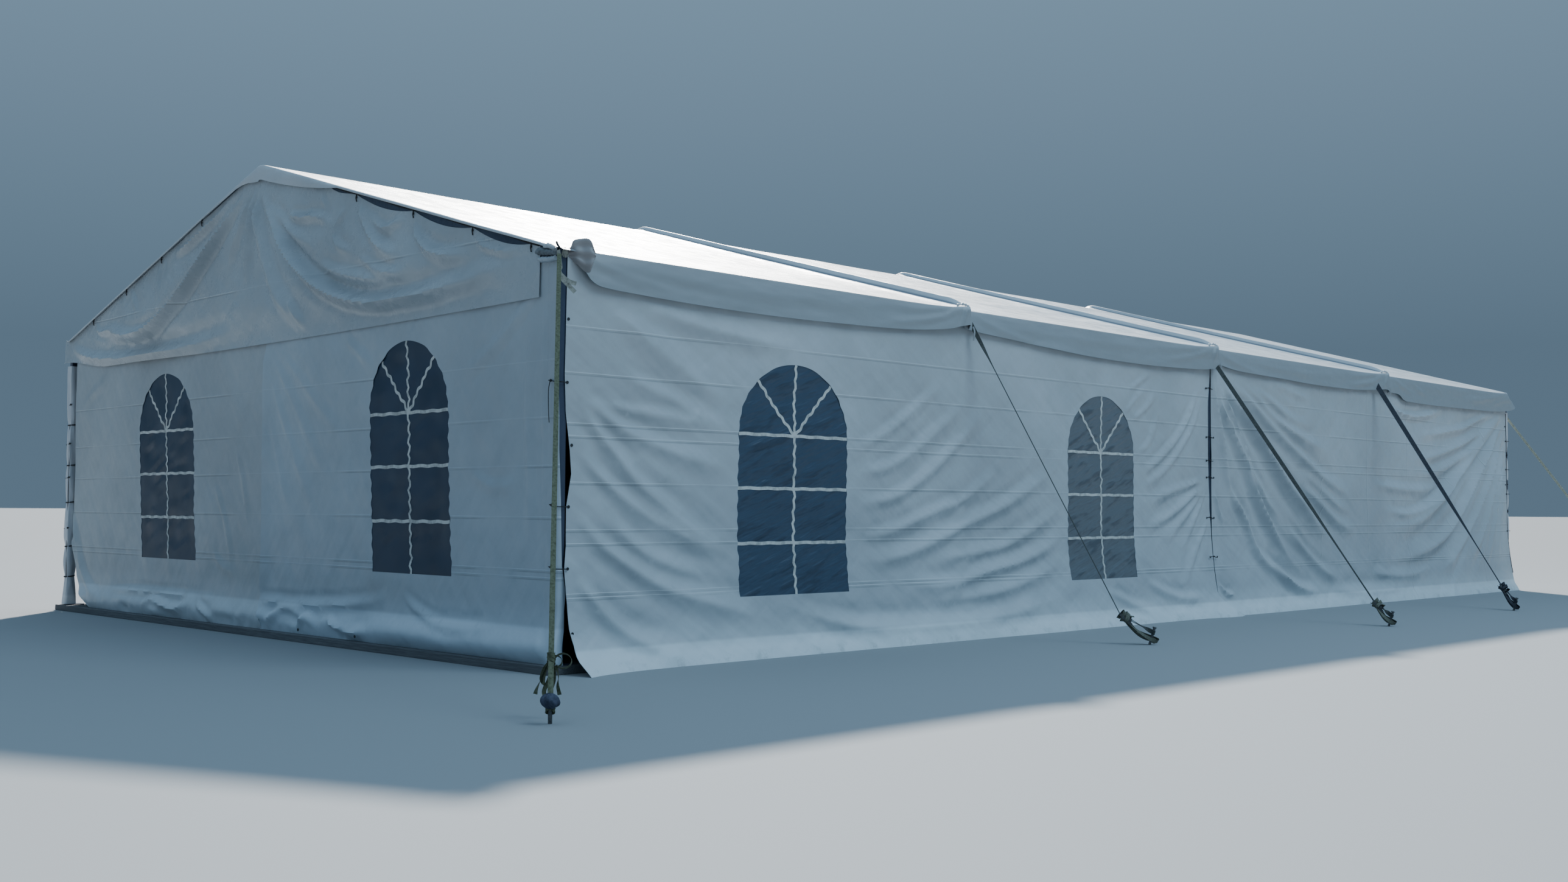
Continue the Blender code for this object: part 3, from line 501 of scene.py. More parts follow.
def end_surface(end, a, b, out, wrap=False):
    """Points of an end wall; with wrap its right edge passes in front of the post and round its corner."""
    y = END_WALL_Y + SHEET + out
    x = a.copy()
    if wrap:
        front = STEEL_END + GAP + SHEET + 0.004
        pass_post = smooth((a - TURN_AT[0]) / 0.09)
        y = y * (1 - pass_post) + np.maximum(front + 0.3 * out, front) * pass_post
        past = np.clip(a - ROUND_AT, 0.0, None)
        turn = np.clip(past / ROUND_R, 0.0, math.pi / 2)
        x = np.where(past > 0, ROUND_AT + ROUND_R * np.sin(turn), a)
        back = ROUND_R * (1 - np.cos(turn)) + np.clip(past - ROUND_R * math.pi / 2, 0, None)
        y = np.where(past > 0, y - back, y)
    return np.column_stack([-end * x, end * y, b])


def gable_height(a, b):
    out = 2.0 * folds_height(a, b, GABLE_FOLDS)
    out += 0.007 * ripple(a, b, 0.5, 0.4, 51) + 0.003 * ripple(a + b, b - a, 0.26, 0.34, 52)
    out += 0.012 * ripple(a, b, 1.6, 0.9, 53)
    out += 0.06 * smooth((b - gable_hem(a)) / 0.5) * smooth((roof_z(a) - 0.1 - b) / 0.6)
    under_lip = smooth((b - (roof_z(a) - 0.22)) / 0.16)
    out = np.maximum(out, 0.0) * (1 - under_lip) + np.clip(out, 0.0, 0.004) * under_lip
    return out + 0.012 * smooth(1 - (b - gable_hem(a)) / 0.2)


def gable_hem(a):
    return 3.56 - 0.05 * (1 - (a / HALF) ** 2)


def gable_top(a):
    """Upper edge of a gable sheet: held at its ties, sagging between them."""
    line = roof_z(a) - 0.02
    ties = np.array(GABLE_TIES)
    drop = np.zeros(len(a))
    for low, high in zip(ties[:-1], ties[1:]):
        if high - low > 2:
            continue
        t = np.clip((a - low) / (high - low), 0.0, 1.0)
        drop += (0.065 if low > 0 else 0.012) * 4 * t * (1 - t)
    past_flap = smooth((a - 1.5) / 0.4) * smooth((GABLE_TIES[4] - a) / 0.4)
    return line + 0.012 * smooth((-1.4 - a) / 0.3) - 0.022 * smooth((a - 1.5) / 0.4) - drop - 0.03 * past_flap


def gable_surface(end, a, b, out):
    past = np.clip(GABLE_BEND - a, 0.0, None)
    y = GABLE_Y + SHEET + out + 0.032 * smooth(past / 0.06) - 0.35 * np.clip(past - 0.12, 0.0, None)
    return np.column_stack([-end * a, end * y, b])


def normals_of(verts, tris):
    p = verts[tris]
    face = np.cross(p[:, 1] - p[:, 0], p[:, 2] - p[:, 0])
    total = np.zeros_like(verts)
    for k in range(3):
        np.add.at(total, tris[:, k], face)
    return total / (np.linalg.norm(total, axis=1, keepdims=True) + 1e-12)


def put(name, data):
    """An object in the scene."""
    ob = bpy.data.objects.new(name, data)
    bpy.context.scene.collection.objects.link(ob)
    return ob


def mesh_object(name, verts, faces, mat, slot, sharp=50.0):
    """Object from point and face arrays; faces is a list of arrays of triangles or quads."""
    mesh = bpy.data.meshes.new(name)
    faces = [np.asarray(f) for f in faces if len(f)]
    loops = np.concatenate([f.ravel() for f in faces]).astype(np.int32)
    sizes = np.concatenate([np.full(len(f), f.shape[1]) for f in faces])
    starts = np.concatenate([[0], np.cumsum(sizes)[:-1]]).astype(np.int32)
    mesh.vertices.add(len(verts))
    mesh.vertices.foreach_set("co", np.ascontiguousarray(verts, dtype=np.float32).ravel())
    mesh.loops.add(len(loops))
    mesh.loops.foreach_set("vertex_index", loops)
    mesh.polygons.add(len(starts))
    mesh.polygons.foreach_set("loop_start", starts)
    mesh.update(calc_edges=True)
    mesh.validate()
    mesh.shade_smooth()
    mesh.set_sharp_from_angle(angle=math.radians(sharp))
    ob = put(name, mesh)
    mesh.materials.append(mat)
    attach(ob, "root")
    return ob


def sheet_object(name, verts, tris, thick, outward, mat, slot):
    """Closed sheet: the shown face, one thick behind it, and the rim between them; outward None is for a sleeve."""
    normals = normals_of(verts, tris)
    away = verts - verts.mean(0) if outward is None else np.array(outward, float)
    if (normals * away).sum() < 0:
        tris = tris[:, ::-1]
        normals = -normals
    count = len(verts)
    edges = np.concatenate([tris[:, [0, 1]], tris[:, [1, 2]], tris[:, [2, 0]]])
    key = edges[:, 0] * count + edges[:, 1]
    rim = edges[~np.isin(key, edges[:, 1] * count + edges[:, 0])]
    quads = np.column_stack([rim[:, 1], rim[:, 0], rim[:, 0] + count, rim[:, 1] + count])
    both = np.vstack([verts, verts - normals * thick])
    return mesh_object(name, both, [tris, tris[:, ::-1] + count, quads], mat, slot)


def cells(rows, cols, around=False):
    """Corners of a grid's cells, row by row; around joins its last column to the first."""
    index = np.arange(rows * cols).reshape(rows, cols)
    onward = np.roll(index, -1, axis=1)
    quads = np.stack([index[:-1], onward[:-1], onward[1:], index[1:]], axis=-1)
    return (quads if around else quads[:, :-1]).reshape(-1, 4)


def grid_sheet(name, grid, around, *rest):
    """Closed sheet over a grid of points, two triangles to a cell."""
    quads = cells(*grid.shape[:2], around)
    return sheet_object(name, grid.reshape(-1, 3), np.vstack([quads[:, :3], quads[:, [0, 2, 3]]]), *rest)


class Shader:
    """A Principled material with short calls for its nodes."""

    def __init__(self, name, **values):
        self.mat = bpy.data.materials.new(name)
        self.mat.use_nodes = True
        self.tree = self.mat.node_tree
        self.main = self.tree.nodes["Principled BSDF"]
        for key, value in values.items():
            self.main.inputs[key.replace("_", " ")].default_value = value
        self.where = self.node("ShaderNodeTexCoord").outputs["Object"]
        split = self.node("ShaderNodeSeparateXYZ")
        self.wire(self.where, split.inputs[0])
        self.x, self.y, self.z = split.outputs

    def node(self, kind, **values):
        made = self.tree.nodes.new(kind)
        for key, value in values.items():
            setattr(made, key, value)
        return made

    def wire(self, source, socket):
        if isinstance(source, (int, float)):
            socket.default_value = source
        elif isinstance(source, tuple):
            socket.default_value = (*source, 1.0)
        else:
            self.tree.links.new(source, socket)

    def noise(self, scale, detail=3.0, rough=0.55, stretch=(1, 1, 1), kind="FBM", turn=(0, 0, 0)):
        """Noise in metres, squeezed by stretch along axes turned by the given angles."""
        mapping = self.node("ShaderNodeMapping", vector_type="TEXTURE")
        mapping.inputs["Rotation"].default_value = turn
        mapping.inputs["Scale"].default_value = tuple(1 / s for s in stretch)
        self.wire(self.where, mapping.inputs["Vector"])
        tex = self.node("ShaderNodeTexNoise", noise_type=kind)
        self.wire(mapping.outputs[0], tex.inputs["Vector"])
        tex.inputs["Scale"].default_value = scale
        tex.inputs["Detail"].default_value = detail
        tex.inputs["Roughness"].default_value = rough
        return tex.outputs[0]

    def math(self, operation, a, b=0.0):
        made = self.node("ShaderNodeMath", operation=operation)
        self.wire(a, made.inputs[0])
        self.wire(b, made.inputs[1])
        return made.outputs[0]

    def span(self, source, low, high, to_low=0.0, to_high=1.0):
        made = self.node("ShaderNodeMapRange", interpolation_type="SMOOTHSTEP")
        for k, value in enumerate((source, low, high, to_low, to_high)):
            self.wire(value, made.inputs[k])
        return made.outputs[0]

    def times(self, a, b):
        return self.math("MULTIPLY", a, b)

    def mix(self, share, a, b):
        made = self.node("ShaderNodeMix", data_type="RGBA")
        self.wire(share, made.inputs[0])
        self.wire(a, made.inputs[6])
        self.wire(b, made.inputs[7])
        return made.outputs[2]

    def lay(self, tone, mask, share, colour):
        """The tone with a share of another colour over it where mask is 1."""
        return self.mix(self.times(mask, share), tone, colour)

    def lines(self, along, places, half):
        """1 within half of each place along a coordinate, falling to 0."""
        total = None
        for place in places:
            away = self.math("ABSOLUTE", self.math("SUBTRACT", along, place))
            line = self.span(away, half, 0.0)
            total = line if total is None else self.math("MAXIMUM", total, line)
        return total

    def bump(self, layers):
        """Surface relief from (height, metres) pairs."""
        normal = None
        for height, distance in layers:
            made = self.node("ShaderNodeBump")
            made.inputs["Strength"].default_value = 1.0
            made.inputs["Distance"].default_value = distance
            self.wire(height, made.inputs["Height"])
            if normal is not None:
                self.wire(normal, made.inputs["Normal"])
            normal = made.outputs[0]
        self.wire(normal, self.main.inputs["Normal"])

    def finish(self, tone, rough, layers):
        """The material with its colour, its roughness and its relief in place."""
        self.wire(tone, self.main.inputs["Base Color"])
        self.wire(rough, self.main.inputs["Roughness"])
        self.bump(layers)
        return self.mat


def weave(shader, pitch):
    """Threads both ways, as a height."""
    waves = [shader.math("SINE", shader.times(along, 2 * math.pi / pitch))
             for along in (shader.math("ADD", shader.x, shader.y), shader.z)]
    return shader.times(*waves)


def shade_of(colour, share):
    return tuple(c * share for c in colour)


def cloth_material(name, colour, welds=(), rough=0.42, turn=(0.6, 0, 0), creases=(), shaded_flanks=(), foot=0.22):
    """Coated cloth: weave, small creases, blotches, a painted highlight on its foot, weld and crease lines of painted
    shade with a painted highlight beside them that come and go, and on the roof painted shade over the rafters and on
    the valance.
    """
    shader = Shader(name, Roughness=rough, Specular_IOR_Level=0.5, Coat_Weight=0.1, Coat_Roughness=0.3)
    z = shader.z
    broad = shader.noise(0.5, 3.0)
    mottle = shader.noise(3.5, 7.0, 0.7)
    crinkle = shader.noise(6.0, 4.0, 0.55)
    stained = (colour[0] * 0.68, colour[1] * 0.70, colour[2] * 0.67)
    pale = tuple(min(0.85, c * 1.6) for c in colour)
    tone = shader.mix(shader.span(broad, 0.35, 0.65), shade_of(colour, 0.86), colour)
    tone = shader.lay(tone, shader.span(mottle, 0.48, 0.72), 0.16, stained)
    # Painted highlight: paler from 0.3 m above the foot height downward, and paler still below it, for the light from
    # the ground and sky on the flared foot
    tone = shader.lay(tone, shader.span(z, foot + 0.3, foot), 0.35, pale)
    tone = shader.lay(tone, shader.span(z, foot + 0.02, foot - 0.02), 0.75, pale)
    splash = shader.times(shader.span(z, 0.16, 0.0), shader.span(mottle, 0.5, 0.68))
    tone = shader.lay(tone, splash, 0.5, stained)
    slant = shader.noise(1.3, 2.0, 0.5, (0.6, 0.6, 2.4), "FBM", turn)
    other = shader.noise(0.9, 2.5, 0.5, (0.6, 0.6, 2.6), "FBM", tuple(-angle for angle in turn))
    layers = [(weave(shader, 0.012), 0.0004), (crinkle, 0.004), (slant, 0.035), (other, 0.06)]
    fade = shader.span(shader.noise(0.7, 2.0), 0.36, 0.56)
    # Painted shade along each weld and crease, with a painted highlight just beside it; both fade in and out
    for along, places in ((z, welds), (shader.y, creases)):
        if not places:
            continue
        dark = shader.times(shader.lines(along, places, 0.011), fade)
        light = shader.times(shader.lines(along, [v + 0.02 for v in places], 0.010),
                             shader.span(fade, 0.0, 1.0, 0.4, 1.0))
        tone = shader.lay(tone, dark, 0.65, shade_of(colour, 0.45))
        tone = shader.lay(tone, light, 0.36, pale)
        layers.append((light, 0.003))
    # Painted shade: a dark stripe along the near flank of each roof cover's hump over a rafter, above the eave
    if shaded_flanks:
        over = shader.span(z, EAVE_TOP + 0.03, EAVE_TOP + 0.07)
        tone = shader.lay(tone, shader.times(shader.lines(shader.y, shaded_flanks, 0.034), over), 0.85, (0.05, 0.07, 0.11))
        # Painted shade: below the eave the roof cloth is drawn at 0.55 of its colour, on the valance
        tone = shader.mix(shader.span(z, EAVE_TOP + 0.02, EAVE_TOP - 0.03), tone, shade_of(colour, 0.55))
    return shader.finish(tone, shader.span(mottle, 0.3, 0.7, rough - 0.1, rough + 0.16), layers)


def film_material():
    """Smoky film, drawn lighter in the side windows and lighter still in those far from the front as painted
    reflection, with painted shade in its wrinkles.
    """
    shader = Shader("smoky_film", Roughness=0.38, Specular_IOR_Level=0.3, Alpha=0.97)
    haze = shader.noise(2.2, 2.0, 0.5)
    wrinkle = shader.noise(2.6, 2.5, 0.55, (1, 0.8, 4.5), "FBM", (0.35, 0, 0))
    inward = shader.span(shader.math("ABSOLUTE", shader.y), 11.9, 11.0)
    far = shader.times(shader.span(shader.y, -7.5, -4.0), inward)
    creased = shader.times(shader.span(wrinkle, 0.53, 0.66), inward)
    tone = shader.mix(shader.span(haze, 0.35, 0.7), (0.018, 0.039, 0.070), (0.026, 0.052, 0.090))
    # Painted reflection: the film in the side windows drawn lighter, and lighter again in the windows farther back
    tone = shader.lay(tone, inward, 0.75, (0.054, 0.088, 0.132))
    tone = shader.lay(tone, far, 0.9, (0.142, 0.162, 0.180))
    # Painted shade in the film's wrinkles
    tone = shader.lay(tone, creased, 0.45, (0.024, 0.036, 0.052))
    return shader.finish(tone, shader.span(haze, 0.3, 0.75, 0.34, 0.46), [(shader.times(wrinkle, inward), 0.03)])


def plain_material(name, colour, rough, metal=0.0, scale=40.0, depth=0.0005):
    """Small parts: colour broken up by wear and a fine grain."""
    shader = Shader(name, Roughness=rough, Metallic=metal)
    wear = shader.noise(scale, 5.0, 0.6)
    tone = shader.mix(shader.span(wear, 0.4, 0.7), colour, shade_of(colour, 0.6))
    return shader.finish(tone, shader.span(wear, 0.3, 0.7, rough * 0.8, min(1.0, rough * 1.3)), [(wear, depth)])


def steel_material():
    """Dark blue paint with streaks, drawn as dark as the frame shows in the shaded slit beside the near corner's
    wall, so its darkness is partly painted shade.
    """
    shader = Shader("painted_steel", Metallic=0.2)
    broad = shader.noise(1.5, 4.0)
    spangle = shader.noise(30.0, 3.0, 0.6)
    streak = shader.noise(4.0, 5.0, 0.6, (6, 6, 0.5))
    tone = shader.mix(shader.span(broad, 0.3, 0.7), (0.026, 0.042, 0.076), (0.040, 0.060, 0.100))
    tone = shader.lay(tone, shader.span(streak, 0.5, 0.75), 0.5, (0.020, 0.026, 0.036))
    return shader.finish(tone, shader.span(spangle, 0.3, 0.7, 0.34, 0.55), [(spangle, 0.0006)])


def timber_material():
    shader = Shader("deck_boards")
    grain = shader.noise(9.0, 7.0, 0.6, (0.35, 9, 9))
    board = shader.noise(2.0, 1.0, 0.5, (0.1, 3, 1))
    tone = shader.mix(shader.span(grain, 0.35, 0.68), (0.10, 0.105, 0.115), (0.17, 0.175, 0.18))
    tone = shader.lay(tone, shader.span(board, 0.4, 0.6), 0.45, (0.085, 0.085, 0.09))
    return shader.finish(tone, 0.8, [(grain, 0.002)])


SIDE_WELDS = (0.68, 0.72, 1.19, 1.32, 1.77, 2.21, 2.33, 2.81, 3.25)
END_WELDS = (0.87, 0.94, 1.44, 1.93, 2.39, 2.93)
STORAGE_CREASES = (3.58, 5.37, 7.03, 8.85, 10.53)
# Places along y of the painted shade on the near flank of each cover's hump over a rafter
HUMP_SHADE_LINES = (-6.075, -0.075, 5.925)
# All the sheets are one white cloth, drawn mid grey as painted shade; the end walls and gables darker still for their
# deeper shade, the roof lighter as painted sunlight
WALL = cloth_material("wall_cloth", (0.46, 0.51, 0.545), SIDE_WELDS, creases=STORAGE_CREASES)
END_CLOTH = cloth_material("end_cloth", (0.40, 0.465, 0.515), END_WELDS, turn=(0, 0.9, 0), foot=0.42)
END_CLOTH_LEFT = cloth_material("end_cloth_left", (0.39, 0.435, 0.465), END_WELDS, turn=(0, 0.9, 0), foot=0.42)
# Painted shade: the twisted corner's cloth is drawn darker, as its shaded underside
SHADED_TWIST_CLOTH = cloth_material("twist_cloth_in_painted_shade", (0.30, 0.295, 0.30))
WRAP = cloth_material("wrap_cloth", (0.62, 0.65, 0.69), turn=(0, 0.9, 0))
GABLE = cloth_material("gable_cloth", (0.40, 0.45, 0.485), (4.2,), 0.28, (0, 0.6, 0))
ROOF = cloth_material("roof_cloth", (0.50, 0.555, 0.595), turn=(0.12, 0, 0), shaded_flanks=HUMP_SHADE_LINES)
FILM_MAT = film_material()
# Name, colour, roughness, metal, grain to the metre, its depth
SMALL_PARTS = (
    ("film_strips", (0.60, 0.62, 0.60), 0.5, 0.0, 12.0),
    ("navy_webbing", (0.016, 0.020, 0.032), 0.75, 0.0, 60.0, 0.001),
    ("olive_webbing", (0.12, 0.13, 0.10), 0.8, 0.0, 60.0, 0.001),
    ("yellow_webbing", (0.105, 0.12, 0.07), 0.75, 0.0, 50.0, 0.001),
    ("pale_webbing", (0.42, 0.44, 0.36), 0.75, 0.0, 50.0, 0.001),
    ("black_rope", (0.018, 0.019, 0.022), 0.8, 0.0, 90.0, 0.001),
    ("blue_grey_rag", (0.05, 0.062, 0.10), 0.85, 0.0, 30.0, 0.003),
    ("eyelet_metal", (0.035, 0.04, 0.045), 0.5, 0.4, 45.0, 0.0004),
    ("worn_steel", (0.16, 0.165, 0.17), 0.5, 0.7, 45.0, 0.0006),
    ("dark_olive_webbing", (0.035, 0.042, 0.040), 0.75, 0.0, 60.0, 0.001),
    ("grey_roll", (0.17, 0.20, 0.22), 0.8, 0.0, 18.0, 0.004),
    ("pale_grey_webbing", (0.36, 0.38, 0.34), 0.8, 0.0, 40.0, 0.001),
)
(BAR, NAVY, OLIVE, YELLOW, PALE, ROPE, RAG,
 EYELET, WORN_STEEL, OLIVE_DARK, RAG_GREY, PALE_GREY) = (plain_material(*row) for row in SMALL_PARTS)
STEEL = steel_material()
TIMBER = timber_material()


def side_walls():
    """Four panels: the front ones carry the windows; the left side repeats the right one."""
    front_height = side_height(SIDE_FRONT_FOLDS, 11, 1.5)
    back_height = side_height(SIDE_BACK_FOLDS, 21, 2.2)
    far = [(0.42, 0.0), (0.17, 0.16), (0.0, 0.32), (-0.02, 1.3), (-0.06, 1.6), (-0.085, 2.4), (-0.07, 3.2),
           (-0.02, 3.6), (-0.01, SIDE_TOP)]
    near = [(-SIDE_EDGE - ahead, z) for ahead, z in NEAR_EDGE]
    front_right = np.array(far + near)
    drawn = [(a - SIDE_EDGE, b) for a, b in ((0, 0.75), (0.18, 0.52), (0.42, 0.3), (0.7, 0.12), (1.0, 0.0))]
    front_left = np.array(far + [point for point in near if point[1] > 0.8] + drawn)
    back = np.array([(0.012, 0.0), (SIDE_EDGE + 0.01, 0.0), (SIDE_EDGE, 1.0), (SIDE_EDGE, SIDE_TOP),
                     (0.012, SIDE_TOP), (0.0, 2.4), (0.012, 1.2)])
    holes = [arch(view, SIDE_SILL) for view in SIDE_WINDOWS]
    plans = {"right_front": cut(run_along(front_right), holes, front_height),
             "left_front": cut(run_along(front_left), holes, front_height),
             "back": cut(run_along(back), [], back_height)}
    for side, word in SIDES:
        for part, height, flap in (("front", front_height, JOIN_FLAP), ("back", back_height, 0.0)):
            points, tris = plans["back" if part == "back" else f"{word}_front"]
            a, b = points.T
            verts = side_surface(side, a, b, height(a, b), flap)
            name = f"side_sheet_{word}_{part}"
            ob = sheet_object(name, verts, tris, SHEET, (side, 0, 0.2), WALL, "wall_sheet")
            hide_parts(f"side_wall_{word}_{part}")
        for number, view in enumerate(SIDE_WINDOWS, 1):
            window(f"{word}_{number}", view, SIDE_SILL, front_height,
                   lambda a, b, out, side=side: side_surface(side, a, b, out, JOIN_FLAP), (side, 0, 0))


def end_walls():
    """Two panels to each end; the back repeats the front, turned end for end."""
    foot = DECK_TOP + GAP
    edge = INNER - 0.155
    drawn = [(-edge + a, foot + b) for a, b in ((-0.01, 0.95), (0.08, 0.68), (0.2, 0.42), (0.4, 0.18), (0.68, 0.0))]
    left = np.array([*drawn, (END_JOIN + 0.012, foot), (END_JOIN + 0.02, 1.5), (END_JOIN, 2.6),
                     (END_JOIN, END_WALL_TOP), (-edge, END_WALL_TOP), (-edge - 0.01, 2.9), (-edge + 0.012, 2.2),
                     (-edge, 1.5)])
    right = np.array([(END_JOIN - 0.03, foot), (TURNED_EDGE[0][0], foot), *TURNED_EDGE,
                      (TURNED_EDGE[-1][0], END_WALL_TOP), (END_JOIN - 0.01, END_WALL_TOP), (END_JOIN - 0.015, 2.6),
                      (END_JOIN, 1.4)])
    turn = [(a, b) for a in TURN_AT for b in np.arange(foot, END_WALL_TOP, 0.04)]
    panels = []
    for hand, outline, height, cloth, extra, view in (
            ("left", left, end_height(END_LEFT_FOLDS, 31), END_CLOTH_LEFT, (), END_WINDOWS[0]),
            ("right", right, end_height(END_RIGHT_FOLDS, 41, True), END_CLOTH, turn, END_WINDOWS[1])):
        hole = arch(view, END_SILL, 0.0, END_WAVE)
        panels.append((hand, height, cloth, view, *cut(run_along(outline), [hole], height, extra)))
    for end, word, post in ENDS:
        for k, (hand, height, cloth, view, points, tris) in enumerate(panels):
            a, b = points.T
            lap = 0.006 * k
            lifted = 0.034 * k * bell((a - END_JOIN) / 0.10) * smooth(b / 0.8) * smooth((3.48 - b) / 0.2)
            verts = end_surface(end, a, b, height(a, b) + lap + lifted, hand == "right")
            name = f"end_sheet_{word}_{hand}"
            ob = sheet_object(name, verts, tris, SHEET, (0, end, 0.2), cloth, "wall_sheet")
            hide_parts(f"end_wall_{word}_{hand}")
            window(f"{word}_{hand}", view, END_SILL, lambda a, b, h=height, lap=lap: h(a, b) + lap,
                   lambda a, b, out, end=end: end_surface(end, a, b, out), (0, end, 0))


def gable_sheets():
    """One to each end; the front one's end sticks out past the corner, the back one stops short of it."""
    a = np.linspace(GABLE_LOW, GABLE_HIGH, 200)
    hem = np.column_stack([a, gable_hem(a)])
    hem[:, 1] += 0.12 * smooth((-4.6 - a) / 1.5)
    top = np.column_stack([a, gable_top(a)])[::-1]
    top = top[top[:, 0] > GABLE_TURN]
    left = np.array([(-6.12, 4.02), (-6.22, 4.03), (GABLE_LOW, 4.0)])
    for end, word, post in ENDS:
        outline = np.vstack([hem, top, left] if end < 0 else [hem[hem[:, 0] > GABLE_TURN], top])
        points, tris = cut(outline, [], gable_height)
        pa, pb = points.T
        verts = gable_surface(end, pa, pb, gable_height(pa, pb))
        ob = sheet_object(f"gable_cloth_{word}", verts, tris, SHEET, (0, end, 0.1), GABLE, "gable_sheet")
        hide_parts(f"gable_sheet_{word}")


CORNERS = ((-1, -1), (1, -1), (1, 1), (-1, 1))


def unit(v):
    return v / (np.linalg.norm(v, axis=-1, keepdims=True) + 1e-12)


def skin(rings):
    """Closed skin over rings of points."""
    rings = np.asarray(rings, float)
    count, sides = rings.shape[:2]
    first = np.arange(sides)[None]
    return rings.reshape(-1, 3), [cells(count, sides, True), first[:, ::-1], first + (count - 1) * sides]


def ribbon(path, across, wide, thick):
    """Flat strip along a path; across is the direction of its width, one for all points or one each."""
    path = np.asarray(path, float)
    along = unit(np.gradient(path, axis=0))
    side = np.broadcast_to(np.asarray(across, float), path.shape)
    side = unit(side - along * (side * along).sum(1, keepdims=True))
    normal = np.cross(along, side)
    half = np.broadcast_to(wide, len(path))[:, None] / 2
    return skin(np.stack([path + side * half * s + normal * thick * n / 2 for s, n in CORNERS], axis=1))


def tube(path, radius, sides=8):
    """Round bar or rope along a path; radius is one for all points or one each."""
    path = np.asarray(path, float)
    along = unit(np.gradient(path, axis=0))
    radius = np.broadcast_to(radius, len(path))
    across = np.cross(along[0], (0.31, 0.52, 0.79))
    turn = np.arange(sides) * 2 * math.pi / sides
    rings = []
    for point, ahead, r in zip(path, along, radius):
        across = unit(across - ahead * (across @ ahead))
        rings.append(point + r * (np.outer(np.cos(turn), across) + np.outer(np.sin(turn), np.cross(ahead, across))))
    return skin(rings)


def block(centre, axes, size, edge=0.0015):
    """Box with chamfered edges; axes are its three directions."""
    half = np.array(size, float) / 2
    rings = []
    for inset, rise in ((edge, -half[2]), (0, edge - half[2]), (0, half[2] - edge), (edge, half[2])):
        flat = [(s * (half[0] - inset), t * (half[1] - inset), rise) for s, t in CORNERS]
        rings.append(np.asarray(centre) + np.array(flat) @ np.asarray(axes))
    return skin(rings)


def joined(parts):
    """One set of points and faces from several closed skins, each turned outward."""
    verts = []
    faces = []
    count = 0
    for part, groups in parts:
        volume = 0.0
        for group in groups:
            for k in range(1, group.shape[1] - 1):
                a, b, c = part[group[:, 0]], part[group[:, k]], part[group[:, k + 1]]
                volume += (a * np.cross(b, c)).sum()
        faces += [(g if volume > 0 else g[:, ::-1]) + count for g in groups]
        verts.append(part)
        count += len(part)
    return np.vstack(verts), faces


def fitting(name, parts, mat, slot, sharp=35.0):
    return mesh_object(name, *joined(parts), mat, slot, sharp)


def turned(points, side=1, end=1):
    """Points given for the right-hand back corner, in another corner."""
    return np.array(points, float) * (side, end, 1)


def flipped(part, flip):
    verts, faces = part
    return verts * flip, faces


def window(word, view, sill, height, place, outward):
    """Smoky film behind an arched opening of a sheet, with its welded strips."""
    centre, skew, wide = view
    wave = WAVE if abs(outward[0]) else END_WAVE

    def film_height(a, b):
        edge = wide / 2 - np.abs(a - centre - skew * (b - sill) / WINDOW_TALL)
        foot = np.minimum(b - sill, sill + WINDOW_TALL - b)
        free = smooth(np.minimum(edge, foot) / 0.22)
        slack = 0.008 * ripple(a + b, b - a * 0.5, 0.3, 0.09, 61) + 0.005 * ripple(a, b, 0.4, 0.25, 62)
        return height(a, b) - SHEET - 0.0012 + slack * free - 0.006 * free

    outline = arch(view, sill, FILM_LAP, 0.0)
    points, tris = cut(outline[::2], [], film_height)
    a, b = points.T
    film = sheet_object(f"film_{word}", place(a, b, film_height(a, b)), tris, FILM, outward, FILM_MAT, "window_film")
    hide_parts(f"window_film_{word}")
    half = wide / 2
    spring = sill + WINDOW_TALL - ARCH_RISE
    fan = FAN_SHARE * wide
    fan_top = spring + ARCH_RISE * math.sqrt(1 - (fan / half) ** 2)
    lines = [((-half, z), (half, z), 0.0) for z in (*(sill + rise for rise in BAR_RISES), spring)]
    lines.append(((0, sill), (0, spring + ARCH_RISE), 1.0))
    lines += [((0, spring), (a, fan_top), 0.6) for a in (-fan, fan)]
    parts = []
    for k, (low, high, wavy) in enumerate(lines):
        t = np.linspace(0, 1, 60)
        a = low[0] + (high[0] - low[0]) * t
        b = low[1] + (high[1] - low[1]) * t
        long = math.hypot(high[0] - low[0], high[1] - low[1])
        shift = 1.7 * wavy * wave * np.sin(2 * math.pi * t * long / 0.13 + k + centre)
        shift += 0.4 * wave * np.sin(t * long * 23 + k)
        a = a + shift * (high[1] - low[1]) / long
        b = b - shift * (high[0] - low[0]) / long
        a = a + centre + skew * (b - sill) / WINDOW_TALL
        lift = 0.0022 + 0.0006 * (k < 3)
        path = place(a, b, film_height(a, b) + lift)
        across = np.cross(np.gradient(path, axis=0), np.array(outward, float))
        parts.append(ribbon(path, across, BAR_WIDE, 0.0016))
    bars = fitting(f"film_strips_{word}", parts, BAR, "gable_sheet", 30.0)


